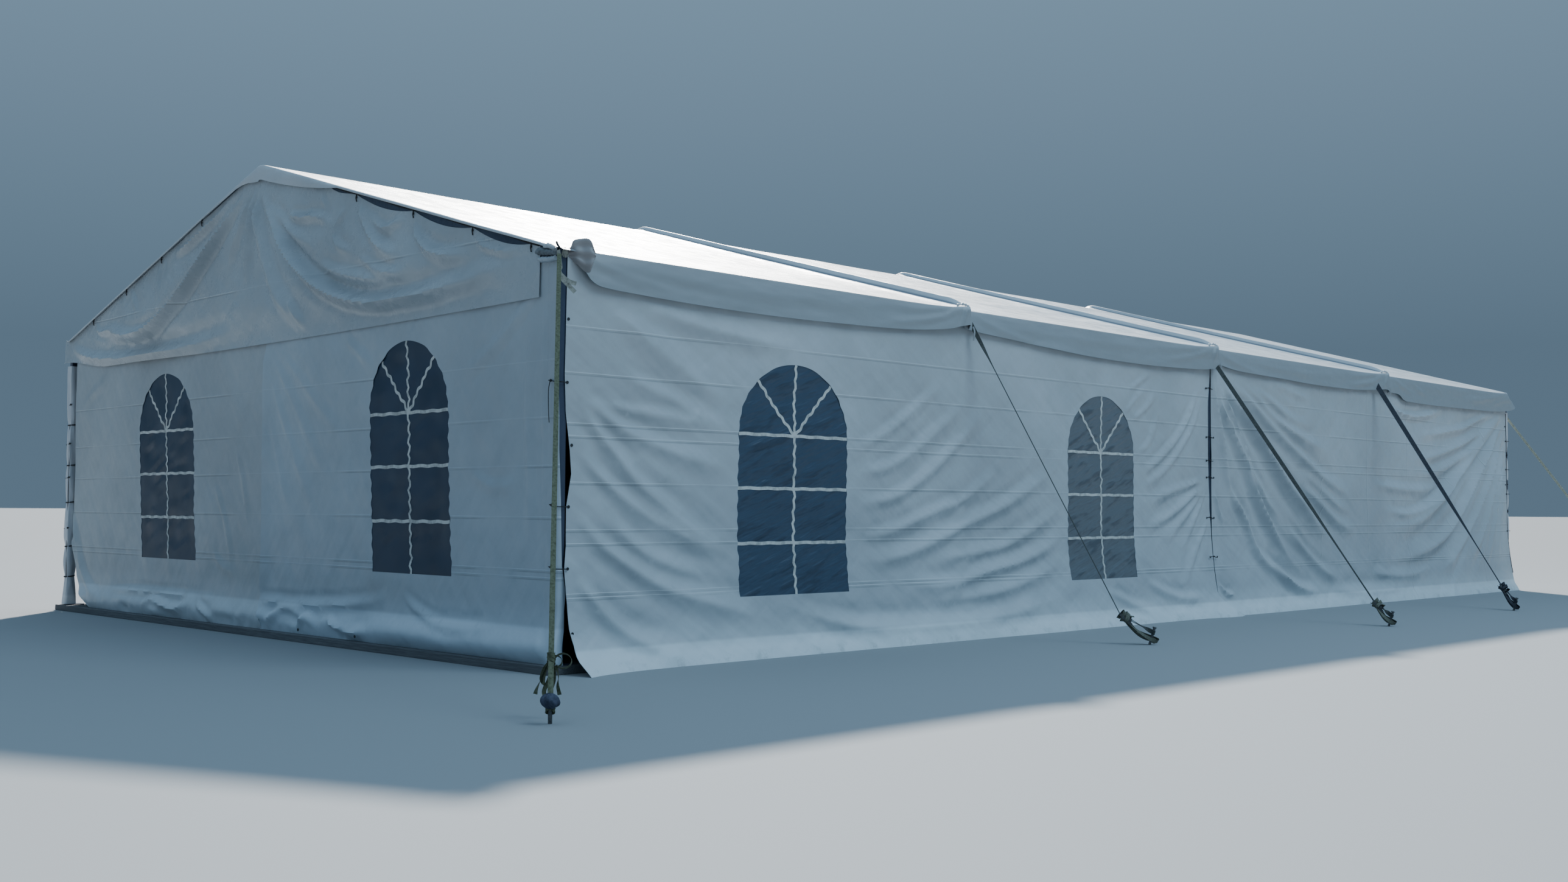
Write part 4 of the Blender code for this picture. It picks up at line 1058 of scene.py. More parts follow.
# Valance hem of each bay, front to back, as (y, z); a far end laps over the next bay's near end
HEMS = (
    ((-12.07, 3.97), (-11.9, 3.965), (-11.85, 3.95), (-11.825, 3.89), (-11.81, 3.80), (-11.78, 3.762),
     (-11.73, 3.712), (-11.64, 3.672), (-11.5, 3.655), (-11.2, 3.642), (-10.4, 3.615), (-9.3, 3.604), (-8.2, 3.62),
     (-7.2, 3.65), (-6.5, 3.705), (-6.1, 3.77), (-5.98, 3.79), (-5.9, 3.735)),
    ((-6.02, 3.76), (-5.8, 3.74), (-5.0, 3.70), (-4.0, 3.65), (-3.0, 3.618), (-1.7, 3.612), (-0.6, 3.642),
     (-0.12, 3.665), (0.02, 3.67), (0.1, 3.7)),
    ((-0.02, 3.78), (0.2, 3.755), (0.85, 3.70), (2.2, 3.677), (3.3, 3.65), (4.7, 3.66), (5.47, 3.696), (5.9, 3.72),
     (6.02, 3.69), (6.1, 3.66)),
    ((5.98, 3.76), (6.2, 3.7), (6.45, 3.69), (6.62, 3.68), (6.74, 3.61), (7.0, 3.57), (8.4, 3.565), (10.3, 3.585),
     (11.1, 3.60), (11.7, 3.63), (12.0, 3.685), (12.07, 3.72)),
)
# Valance folds as (start width, end width, height, then (metres from the bay's near frame, depth below the eave))
VALANCE_FOLDS = (
    (0.05, 0.06, 0.010, (0.3, 0.08), (2.0, 0.16), (4.0, 0.14), (5.6, 0.05)),
    (0.04, 0.07, 0.012, (0.15, 0.04), (0.8, 0.2), (1.6, 0.3)),
    (0.02, 0.03, 0.020, (5.96, 0.0), (5.92, 0.12), (5.88, 0.26)),
    (0.03, 0.05, 0.018, (5.9, 0.01), (5.6, 0.12), (5.2, 0.2), (4.5, 0.28)),
    (0.03, 0.05, 0.012, (5.8, 0.0), (5.3, 0.06), (4.6, 0.1)),
)
LAST_VALANCE_FOLDS = (
    (0.03, 0.06, 0.016, (0.4, 0.02), (0.8, 0.16), (1.3, 0.28)),
    (0.03, 0.06, 0.014, (1.2, 0.02), (1.4, 0.14), (1.9, 0.26)),
    (0.03, 0.05, 0.012, (2.3, 0.05), (2.6, 0.2)),
    (0.04, 0.06, 0.020, (5.95, 0.02), (5.2, 0.12), (4.3, 0.2), (3.4, 0.26)),
    (0.04, 0.05, 0.016, (5.95, 0.08), (5.5, 0.18), (5.0, 0.26)),
    (0.04, 0.05, 0.014, (5.9, 0.0), (5.0, 0.04), (4.0, 0.1)),
)
EAVE_OUT = 0.03
END_REACH = 0.07
NEAR_LAP = 0.015
PUSH = 0.115
LAP = 0.1
HUMP = 0.06


def flap_depth(a):
    """How far the roof's end edge hangs over the gable, seen from outside."""
    right = 0.155 * np.clip(1 - (a / 1.9) ** 2, 0, None) * (a >= 0)
    left = (0.14 * bell(a / 0.3) + 0.03 * np.clip(1 + a / 1.5, 0, None)) * (a < 0)
    return 0.03 + right + left


def roof_covers():
    """One to a bay, each lapped over the next; the outer ones turn down over the gables."""
    for bay in range(4):
        near = FRAME_Y[bay] - (END_REACH if bay == 0 else NEAR_LAP)
        far = FRAME_Y[bay + 1] + (END_REACH if bay == 3 else LAP)
        stations = [np.linspace(near, far, 56)]
        for y in FRAME_Y[bay:bay + 2]:
            stations += [y + np.arange(-0.36, 0.361, 0.03), y + np.arange(-0.12, 0.151, 0.0135)]
        if bay == 0:
            stations.append(np.arange(-11.9, -11.6, 0.015))
        y = np.unique(np.concatenate(stations).round(3))
        y = y[(y >= near) & (y <= far)]
        y = y[np.concatenate([[True], np.diff(y) > 0.007])]
        hem = curve_points(HEMS[bay], 8)
        hem_z = np.interp(y, hem[:, 0], hem[:, 1])
        rows = [cover_row(bay, y[k], hem_z[k]) for k in range(len(y))]
        if bay == 0:
            rows = front_edge(rows[0]) + rows
        if bay == 3:
            rows = rows + front_edge(rows[-1], 1)[::-1]
        ob = grid_sheet(f"roof_sheet_{bay + 1}", np.array(rows), False, SHEET, (0, 0, 1), ROOF, "roof_sheet")
        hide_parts(f"roof_cover_{bay + 1}")


SLOPE_SHARE = np.concatenate([[0, 0.004, 0.012], np.linspace(0.03, 0.95, 40), [0.965, 0.98, 0.99, 0.997]])
HANG_SHARE = np.concatenate([[0.0, 0.03], np.linspace(0.1, 1.0, 12)])


def hump(away):
    """Shape of the ridge that the roof makes over a rafter: steep on its near side."""
    return float(bell(away / (0.05 if away < 0 else 0.10)))


def cover_row(bay, y, hem_z):
    """One line across the roof at y, from the left hem over the ridge to the right one."""
    near = FRAME_Y[bay]
    far = FRAME_Y[bay + 1]
    lapped = bay < 3
    t = np.clip((y - near) / BAY, 0.0, 1.0)
    bump = max(hump(y - near) * (bay > 0), hump(y - far) * lapped)
    before = max(0.0, far - y)
    drawn = float(np.exp(-(before / 0.3) ** 1.2)) * (1 - float(smooth((y - far - 0.01) / 0.085)) * lapped)
    last = 0.0 if lapped else float(smooth((y - 11.72) / 0.36))
    push = PUSH * drawn * (1.0 if lapped else 1.15) * (1 - 0.75 * last)
    lap = 0.007 * float(smooth((y - (far - 0.25)) / 0.1)) * lapped
    eave_x = OUTER + EAVE_OUT + push
    eave_z = roof_z(OUTER + EAVE_OUT) + 0.02 * drawn
    share = SLOPE_SHARE
    x = share * eave_x
    rounded = 0.125 * last
    z = RIDGE_TOP - share * (RIDGE_TOP - eave_z) - 0.012 * bell(share / 0.006)
    z = z - rounded * smooth((x - OUTER) / (eave_x - OUTER))
    eave_z = eave_z - rounded
    hang = 4 * t * (1 - t)
    free = smooth(share / 0.02) * smooth((1 - share) / 0.03)
    z = z - 0.05 * np.sin(math.pi * share) ** 0.7 * hang ** 0.6 * free
    z = z + HUMP * bump * smooth((1 - share) / 0.05) + lap + 0.002
    ys = np.full(len(x), y)
    down = HANG_SHARE
    depth = (eave_z - hem_z) * down
    along = np.full(len(depth), y - near)
    fall = eave_z + lap + 0.002 - depth
    away = y + 0.035 * last * down ** 1.3
    rows = []
    for side in (-1, 1):
        wrinkle = 0.006 * ripple(x * side + 3.1 * bay, ys, 0.9, 1.3, 71)
        wrinkle += 0.0025 * ripple(x * side, ys + x * 0.5, 0.4, 0.5, 72)
        zs = z + (wrinkle + 0.004) * free * (0.3 + 0.7 * hang)
        out = folds_height(along, depth, VALANCE_FOLDS if lapped else LAST_VALANCE_FOLDS)
        out += 0.010 * ripple(along + 7 * bay + side, depth, 0.55, 0.5, 73) * down
        out += 0.004 * ripple(along + 5 * bay, depth, 0.2, 0.2, 74) * down
        round_off = 0.014 * (1 - bell(down / 0.12))
        shape = eave_x + round_off + 0.03 * down - 0.35 * push * down + out + 0.05 * last * down
        rows.append(np.vstack([np.column_stack([side * x, ys, zs]), np.column_stack([side * shape, away, fall])]))
    left, right = rows
    return np.vstack([left[::-1], right[1:]])


def front_edge(row, end=-1):
    """The roof's end edge, turned down over the gable and hanging as a flap at the apex."""
    x, y, z = row.T
    a = -end * x
    on_roof = np.abs(x) < OUTER
    depth = np.where(on_roof, flap_depth(a), 0.03)
    inward = np.where(on_roof, 0.0, 0.006 * -np.sign(x))
    reach = np.where(on_roof, 1.0, 0.15)
    out = []
    for share, forward in ((1.0, 0.020), (0.6, 0.026), (0.25, 0.022), (0.06, 0.01)):
        drop = np.where(on_roof, depth * share, 0.0)
        wave = 0.012 * np.sin(a * 5.0) * share * (depth > 0.05)
        out.append(np.column_stack([x + inward * share, y + end * (forward + wave) * reach, z - drop]))
    return out


# Side straps, right hand: the webbing's top, the ratchet's upper end, the stake, how the webbing turns edge-on,
# as the share of its run where that starts, the share that it takes and how far it goes, and how far its two runs
# lie apart at the top
SIDE_STRAPS = (
    ((6.09, -5.86, 3.85), (7.79, -5.22, 0.35), (8.045, -5.0), (0.03, 0.14, 0.42), 0.0),
    ((6.09, -0.03, 3.85), (8.50, 0.025, 0.34), (8.695, 0.05), (0.5, 0.4, 0.12), 0.020),
    ((6.09, 5.65, 3.85), (8.38, 5.06, 0.41), (8.595, 5.0), (0.5, 0.4, 0.12), 0.046),
)
# Corner straps: their top and stake, as on the right hand
NEAR_STRAP = ((6.085, -12.085, 3.93), (8.645, -14.025))
BACK_STRAP = ((6.03, 12.085, 3.52), (7.945, 13.495))
CORD_R = 0.005
STAKE_R = 0.016
STAKE_TALL = 0.2
STAKE_LEAN = 0.06
HOOK_SHARE = 0.72
WEB_WIDE = 0.05
WEB_THICK = 0.003


def stake_line(stake, top):
    """Foot and head of a stake that leans away from its strap's top."""
    foot = np.array((*stake, 0.0))
    away = foot - top
    away[2] = 0.0
    return foot, foot + np.array((0, 0, STAKE_TALL)) + unit(away) * STAKE_LEAN


def stake_parts(foot, head):
    shaft = tube(np.linspace(foot, head, 5), STAKE_R, 12)
    shaft[0][:, 2] = np.maximum(shaft[0][:, 2], 0.0)
    lean = unit(head - foot)
    cap = tube([head - lean * 0.007, head - lean * 0.005, head + lean * 0.005, head + lean * 0.008],
               (0.021, 0.024, 0.024, 0.019), 16)
    return [shaft, cap]


def replace_all(node, pieces):
    for piece in pieces:
        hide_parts(node)


def ratchet_parts(centre, u, w):
    """A strap ratchet along u with its spool along w: side plates, wheels, bolts, pawl and folded handle."""
    n = np.cross(u, w)
    axes = np.array((w, n, u))
    parts = []
    for s in (-1, 1):
        parts.append(block(centre + w * s * 0.029, axes, (0.003, 0.034, 0.15)))
        parts.append(tube([centre + w * s * 0.0315 + u * 0.035, centre + w * s * 0.0355 + u * 0.035], 0.027, 18))
        swing = unit(u - n * 0.22)
        handle = np.array((w, np.cross(swing, w), swing))
        parts.append(block(centre + w * s * 0.038 + n * 0.026 - u * 0.03, handle, (0.003, 0.022, 0.15)))
    for rise, lift, r, half in ((0.035, 0.0, 0.011, 0.042), (-0.066, 0.0, 0.006, 0.033), (-0.1, 0.04, 0.009, 0.041),
                                (-0.005, 0.018, 0.005, 0.033)):
        middle = centre + u * rise + n * lift
        parts.append(tube([middle - w * half, middle + w * half], r, 12))
    return parts


def guy_strap(name, top, upper, stake, twist, web, tail, slot, apart=0.0):
    """Taut webbing to a ratchet, a doubled end round the stake, and the tail bunched over the ratchet."""
    top = np.array(top, float)
    upper = np.array(upper, float)
    foot, head = stake_line(stake, top)
    hook = foot + (head - foot) * HOOK_SHARE
    down = unit(upper - top)
    flat = np.array((0.71 * np.sign(top[0]), 0.70, 0.0)) if top[1] < 9 else np.array((1.0, 0.0, 0.0))
    turn_at, turn_long, edge = twist
    edge_on = np.array((-np.sign(top[0]) * edge, 0.95, 0.0))
    share = smooth((np.linspace(0, 1, 60) - turn_at) / turn_long)[:, None]
    across = flat * (1 - share) + edge_on * share
    path = np.linspace(top, upper, 60)
    w = unit(across[-1] - down * (across[-1] @ down))
    u = unit(upper - hook)
    w = unit(w - u * (w @ u))
    n = np.cross(u, w)
    centre = hook + u * (np.linalg.norm(upper - hook) - 0.075)
    runs = unit(np.cross(np.cross(down, across), down)) * apart / 2 * (1 - np.linspace(0, 1, 60)[:, None]) ** 0.7
    over = unit(np.cross(across, down)) * WEB_THICK * 0.7
    webs = [ribbon(path + s * (runs + over), across, WEB_WIDE, WEB_THICK) for s in ((-1, 1) if apart else (0,))]
    webs.append(tube([centre + u * 0.035 - w * 0.024, centre + u * 0.035 + w * 0.024], 0.024, 16))
    lean = unit(head - foot)
    out = unit(np.cross(w, lean))
    if out @ (foot - top) < 0:
        out = -out
    loop = [centre - u * 0.066 + n * 0.008, hook + u * 0.09 + w * 0.014, hook + w * 0.022, hook + out * 0.021,
            hook - w * 0.022, hook + u * 0.09 - w * 0.014, centre - u * 0.066 - n * 0.008]
    loop = curve_points(loop, 6)
    span = np.linspace(-1, 1, len(loop))[:, None]
    turn = smooth((np.abs(span) - 0.45) / 0.4)
    webs.append(ribbon(loop, lean * (1 - turn) + w * turn, 0.045, WEB_THICK))
    strap = fitting(name, webs, web, slot)
    iron = ratchet_parts(centre, u, w) + stake_parts(foot, head)
    metal = fitting(f"{name}_ratchet", iron, WORN_STEEL, "frame_steel")
    wad = fitting(f"{name}_tail", tail_parts(centre, foot, u, w, n), tail, slot)
    return strap, metal, wad


def tail_parts(centre, foot, u, w, n):
    """The slack tail: wound round the ratchet, then hanging in loose doubled loops down to the stake."""
    t = np.linspace(0, 1, 90)[:, None]
    angle = 5.2 * math.pi * t
    size = 0.048 + 0.012 * np.sin(angle * 2.3) + 0.01 * t
    wound = centre + u * (0.07 - 0.13 * t) + (np.cos(angle) * n + 0.95 * np.sin(angle) * w) * size
    tilt = u + 0.5 * np.sin(angle * 1.3) * n
    parts = [ribbon(wound, tilt, 0.046, WEB_THICK)]
    low = np.array((0.0, 0.0, -1.0))
    spread = unit(foot - centre - low * ((foot - centre) @ low))
    for k, (bow, sag, reach) in enumerate(((0.055, 0.05, 0.02), (-0.045, 0.03, 0.05), (0.02, 0.065, -0.03))):
        start = centre + u * 0.02 + n * 0.03 + w * bow * 0.4
        end = foot + spread * (0.02 + reach) + np.array((0, 0, 0.03 + 0.012 * k)) + w * bow * 0.5
        route = [start, start * 0.7 + end * 0.3 + w * bow + low * sag * 0.3,
                 start * 0.35 + end * 0.65 + w * bow * 1.1 + low * sag * 0.5, end,
                 end + spread * 0.02 + np.array((0, 0, 0.022)) - w * bow * 0.8,
                 start * 0.45 + end * 0.55 - w * bow * 0.3 + low * sag * 0.2]
        line = curve_points(route, 8)
        line[:, 2] = np.maximum(line[:, 2], 0.026)
        along = np.linspace(0, 1, len(line))[:, None]
        across = n * np.cos(3.5 * along + k) + w * np.sin(3.5 * along + k)
        parts.append(ribbon(line, across, 0.042, WEB_THICK))
    return parts


def guy_straps():
    for side, word in SIDES:
        flip = np.array((side, 1, 1))
        for number, (top, upper, stake, twist, apart) in enumerate(SIDE_STRAPS, 2):
            webbing, tail = (NAVY, NAVY) if number == 4 else (OLIVE_DARK, OLIVE)
            pieces = guy_strap(f"guy_web_{word}_{number}", flip * top, flip * upper, (side * stake[0], stake[1]),
                               twist, webbing, tail, "strap_navy", apart)
            replace_all(f"guy_strap_{word}_{number}", pieces)
        top, stake = BACK_STRAP
        stake = (side * stake[0], stake[1])
        foot, head = stake_line(stake, flip * top)
        upper = (foot + (head - foot) * HOOK_SHARE) * 0.9 + (flip * top) * 0.1
        pieces = guy_strap(f"guy_web_{word}_back", flip * top, upper, stake, (2.0, 1.0, 0.0), PALE, PALE,
                           "strap_pale")
        replace_all(f"guy_strap_{word}_back", pieces)


def near_strap_knot():
    """The front right strap has no ratchet: it is knotted in a bow over its stake, its ends hanging in strands."""
    top, stake = (np.array(v, float) for v in NEAR_STRAP)
    foot, head = stake_line(stake, top)
    hook = foot + (head - foot) * HOOK_SHARE
    u = unit(top - hook)
    across = np.array((0.71, 0.70, 0.0))
    out = unit(np.cross(across, u))
    if out @ (foot - top) < 0:
        out = -out
    up = np.array((0.0, 0.0, 1.0))
    knot = hook + u * 0.40

    def at(right, rise, front):
        return knot + across * right + up * rise + out * front

    line = np.linspace(top, hook + u * 0.02, 80)
    parts = [ribbon(line, across * 0.8 + out * 0.25, 0.042, WEB_THICK)]
    turn = np.linspace(0, 4.6 * math.pi, 60)[:, None]
    wound = knot + up * (0.035 - 0.07 * turn / turn[-1]) + (np.cos(turn) * across + np.sin(turn) * out) * 0.028
    parts.append(ribbon(wound, up + 0.3 * np.sin(turn) * across, 0.03, WEB_THICK))
    turn = np.linspace(-0.15, 2.1 * math.pi, 50)[:, None]
    for right, rise, wide, tall, front in ((0.085, 0.0, 0.062, 0.052, 0.03), (0.03, 0.005, 0.045, 0.04, 0.045)):
        ring = at(right, rise, front) - np.cos(turn) * across * wide + np.sin(turn) * up * tall
        parts.append(ribbon(ring + out * 0.01 * turn / 6, out + 0.35 * up, 0.036, WEB_THICK))
    strands = (((0.0, 0.0, 0.03), (-0.05, -0.05, 0.045), (-0.075, -0.12, 0.05), (-0.06, -0.17, 0.04),
                (-0.05, -0.12, 0.03), (-0.02, -0.03, 0.02)),
               ((-0.02, -0.02, 0.04), (-0.07, -0.10, 0.06), (-0.11, -0.19, 0.06), (-0.12, -0.235, 0.05)),
               ((0.0, -0.03, 0.04), (-0.02, -0.12, 0.06), (-0.055, -0.20, 0.06), (-0.05, -0.255, 0.05)),
               ((0.01, -0.03, 0.045), (0.015, -0.12, 0.055), (0.0, -0.2, 0.05), (0.005, -0.26, 0.04)),
               ((0.03, -0.03, 0.04), (0.05, -0.10, 0.05), (0.045, -0.17, 0.055), (0.06, -0.24, 0.05)))
    for k, strand in enumerate(strands):
        route = curve_points([at(*p) for p in strand], 10)
        share = np.linspace(0, 1, len(route))[:, None]
        parts.append(ribbon(route, across * np.cos(2 * share + k) + out * np.sin(2 * share + k), 0.032, WEB_THICK))
    band = curve_points([foot + (head - foot) * 0.5 + across * 0.031 * math.cos(a) + out * 0.031 * math.sin(a)
                         for a in np.linspace(0, 2 * math.pi, 9)], 4)
    parts.append(ribbon(band, up, 0.034, 0.008))
    strap = fitting("guy_web_right_front", parts, YELLOW, "strap_yellow")
    iron = fitting("guy_stake_right_front", stake_parts(foot, head), WORN_STEEL, "frame_steel")
    lump = lump_over(foot + (head - foot) * 0.83, (0.072, 0.066, 0.054), 91, 48)
    rag = mesh_object("stake_cover_right_front", *joined([lump]), RAG, "strap_navy", 60.0)
    replace_all("guy_strap_right_front", (strap, iron, rag))


def lump_over(centre, size, seed, sides=10):
    """A rounded, creased bundle of cloth or cord."""
    rings = []
    turn = np.linspace(0, 2 * math.pi, sides, endpoint=False)
    for tilt in np.linspace(0.06, math.pi - 0.06, sides // 2 + 2):
        ball = np.column_stack([math.sin(tilt) * np.cos(turn), math.sin(tilt) * np.sin(turn),
                                np.full(sides, -math.cos(tilt))])
        crease = 1 + 0.12 * ripple(np.cos(turn) * 2 + tilt, np.sin(turn) * 2, 0.8, 0.8, seed)
        crease += 0.05 * np.sin(turn * 5 + 3 * tilt)
        rings.append(centre + ball * np.array(size) * crease[:, None])
    return skin(rings)


# The roof's twisted corner, front right: from the knot on the post to the valance, (top edge, lower edge)
TWIST = (((6.035, -11.985, 3.995), (6.04, -11.98, 3.915)), ((6.07, -11.945, 4.01), (6.07, -11.92, 3.895)),
         ((6.10, -11.935, 4.07), (6.11, -11.874, 3.838)), ((6.13, -11.872, 4.093), (6.145, -11.825, 3.785)),
         ((6.185, -11.80, 4.085), (6.195, -11.80, 3.78)), ((6.20, -11.75, 3.97), (6.20, -11.765, 3.88)))
# The hanging ends of the corner's knot
KNOT_ENDS = (((6.055, -12.075, 3.97), (6.095, -12.085, 3.86), (6.11, -12.09, 3.80), (6.10, -12.09, 3.75),
              (6.12, -12.07, 3.69), (6.16, -12.03, 3.63), (6.21, -11.99, 3.565)),
             ((6.10, -12.085, 3.74), (6.14, -12.05, 3.69), (6.18, -12.02, 3.66), (6.22, -11.985, 3.645)))
# Rolled cloth at the end of the gable, in x, z and radius
ROLLS = (((5.70, 3.985, 0.026), (5.80, 3.985, 0.036), (5.90, 3.965, 0.030), (6.02, 3.955, 0.028)),
         ((5.84, 4.02, 0.016), (5.92, 4.025, 0.026), (5.99, 4.0, 0.024), (6.03, 3.975, 0.020)),
         ((5.74, 3.91, 0.020), (5.82, 3.905, 0.028), (5.93, 3.895, 0.026), (6.02, 3.90, 0.022)))


def corner_twists():
    """Where bay 1 starts and bay 4 ends, the valance is gathered, twisted and knotted to the corner post."""
    top, low = (curve_points(edge, 6) for edge in np.array(TWIST).transpose(1, 0, 2))
    across = np.linspace(0, 1, 22)
    share = np.linspace(0, 1, len(top))[:, None]
    twist = top[:, None] * (1 - across[None, :, None]) + low[:, None] * across[None, :, None]
    pleat = np.sin(across[None, :] * 17 + 1.2 * share) * (0.004 + 0.010 * share * (1 - 0.6 * share))
    twist[:, :, 0] += pleat + 0.02 * np.sin(math.pi * across)[None, :] * smooth(share * 3)
    twist[:, :, 1] -= 0.5 * pleat
    for end, word, post in ENDS:
        flip = np.array((-end, -end, 1))
        ob = grid_sheet(f"corner_twist_{word}", twist * flip, False, SHEET, (-end, 0, 0), SHADED_TWIST_CLOTH, "roof_sheet")
        for number, (roll, cloth) in enumerate(zip(ROLLS, (RAG_GREY, ROOF, END_CLOTH)), 1):
            path = curve_points([(x, -12.082 - 0.01 * (number == 2), z) for x, z, r in roll], 7)
            size = np.interp(np.linspace(0, 1, len(path)), np.linspace(0, 1, len(roll)), [r for x, z, r in roll])
            size = size * (1 + 0.13 * np.sin(np.arange(len(path)) * 1.9)) * smooth(np.linspace(0.3, 5, len(path)))
            part = flipped(tube(path, size, 14), flip)
            fitting(f"rolled_cloth_{word}_{number}", [part], cloth, "gable_sheet", 60.0)
        strands = [lump_over(np.array((6.04, -11.99, 3.955)) * flip, (0.032, 0.04, 0.048), 17, 40)]
        for path in KNOT_ENDS:
            strands.append(flipped(ribbon(curve_points(path, 8), (0.3, 0.3, 1.0), 0.04, WEB_THICK), flip))
        fitting(f"corner_knot_{word}", strands, PALE_GREY, "gable_sheet")
        stub = tube([(6.04, -12.085, 4.05), (6.055, -12.085, 4.02), (6.09, -12.08, 3.985)], (0.010, 0.011, 0.008), 10)
        fitting(f"corner_pin_{word}", [flipped(stub, flip)], ROPE, "strap_navy")


# Heights of the lacing: on the post wraps, at the side panels' joint, at the corners where an end sheet is turned
# round the post and at the others, and of the eyelets without a cord
WRAP_TIES = (0.5, 0.95, 1.6, 2.15, 2.75)
JOINT_TIES = (3.39, 2.66, 2.31, 2.06, 1.46, 0.88)
TURNED_TIES = (2.73, 1.56, 0.98)
OPEN_TIES = (3.03, 2.45, 1.95, 1.2)
EDGE_EYELETS = (3.33, 2.14, 0.38)
WRAP_SIDES = 32
WRAP_X = 5.98
WRAP_LEAST = 5.9
LACE_X = OUTER + GAP + SHEET + 0.012
LACE_Y = STEEL_END + 0.022


def post_wraps():
    """White cloth tied round the front left post, and round the back right one."""
    for (end, word, post), hand in zip(ENDS, ("left", "right")):
        z = np.linspace(0.09, 3.62, 90)
        pinch = np.exp(-(np.abs(z[:, None] - np.array(WRAP_TIES)) / 0.09) ** 1.4).max(1)
        turn = np.linspace(0, 2 * math.pi, WRAP_SIDES, endpoint=False)
        square = 0.054 / np.maximum(np.abs(np.cos(turn)), np.abs(np.sin(turn))) ** 0.75
        rings = []
        for held, height in zip(pinch, z):
            level = np.full(WRAP_SIDES, height)
            loose = 0.024 + 0.010 * ripple(turn * 0.9, level, 0.5, 0.35, 81) + 0.016 * smooth((0.5 - height) / 0.4)
            loose += 0.005 * np.sin(turn * 4 + 5 * height)
            size = square + loose * (1 - 0.85 * held)
            rings.append(np.column_stack([size * np.cos(turn), size * np.sin(turn), level]))
        rings = np.array(rings)
        rings[:, :, 0] += end * WRAP_X
        rings[:, :, 1] += end * HALF_LONG
        rings[:, :, 0] = np.where(np.abs(rings[:, :, 0]) < WRAP_LEAST, end * WRAP_LEAST, rings[:, :, 0])
        ob = grid_sheet(f"post_wrap_{word}_{hand}", rings, True, 0.002, None, WRAP, "wall_sheet")
        bands = []
        for height in WRAP_TIES:
            ring = [(end * 5.985 + 0.070 * math.cos(t), end * HALF_LONG + 0.070 * math.sin(t),
                     height + 0.01 * math.sin(t)) for t in np.linspace(0, 2 * math.pi, 25)]
            bands.append(tube(ring, 0.009))
        for low, high in zip(WRAP_TIES[:-1], WRAP_TIES[1:]):
            run = turned([(5.945, 12.062, low), (5.93, 12.07, low * 0.6 + high * 0.4),
                          (5.94, 12.066, low * 0.3 + high * 0.7), (5.95, 12.06, high)], end, end)
            bands.append(tube(curve_points(run, 6), CORD_R))
        fitting(f"wrap_ties_{word}_{hand}", bands, ROPE, "strap_navy")


def ring_parts(places, normal_axis, r=0.012):
    """Eyelets lying flat on a wall, with the dark hole within each."""
    turn = np.linspace(0, 2 * math.pi, 17)
    step = np.zeros(3)
    step[normal_axis] = 0.0012
    parts = []
    for place in np.array(places, float):
        ring = np.tile(place, (17, 1))
        ring[:, (normal_axis + 1) % 3] += r * np.cos(turn)
        ring[:, (normal_axis + 2) % 3] += r * np.sin(turn)
        parts += [tube(ring, 0.0035, 6), tube([place - step, place + step], r - 0.001, 12)]
    return parts


def near_eyelet(z):
    """How far forward the eyelet at height z lies in the side sheet's near edge."""
    ahead, height = np.array(NEAR_EDGE)[::-1].T
    return SIDE_EDGE + float(np.interp(z, height, ahead)) - 0.025


def lace_x(z):
    """How far out the lacing lies on the flaring side walls."""
    return LACE_X + FLARE * max(0.0, 1 - z / FLARE_TALL)


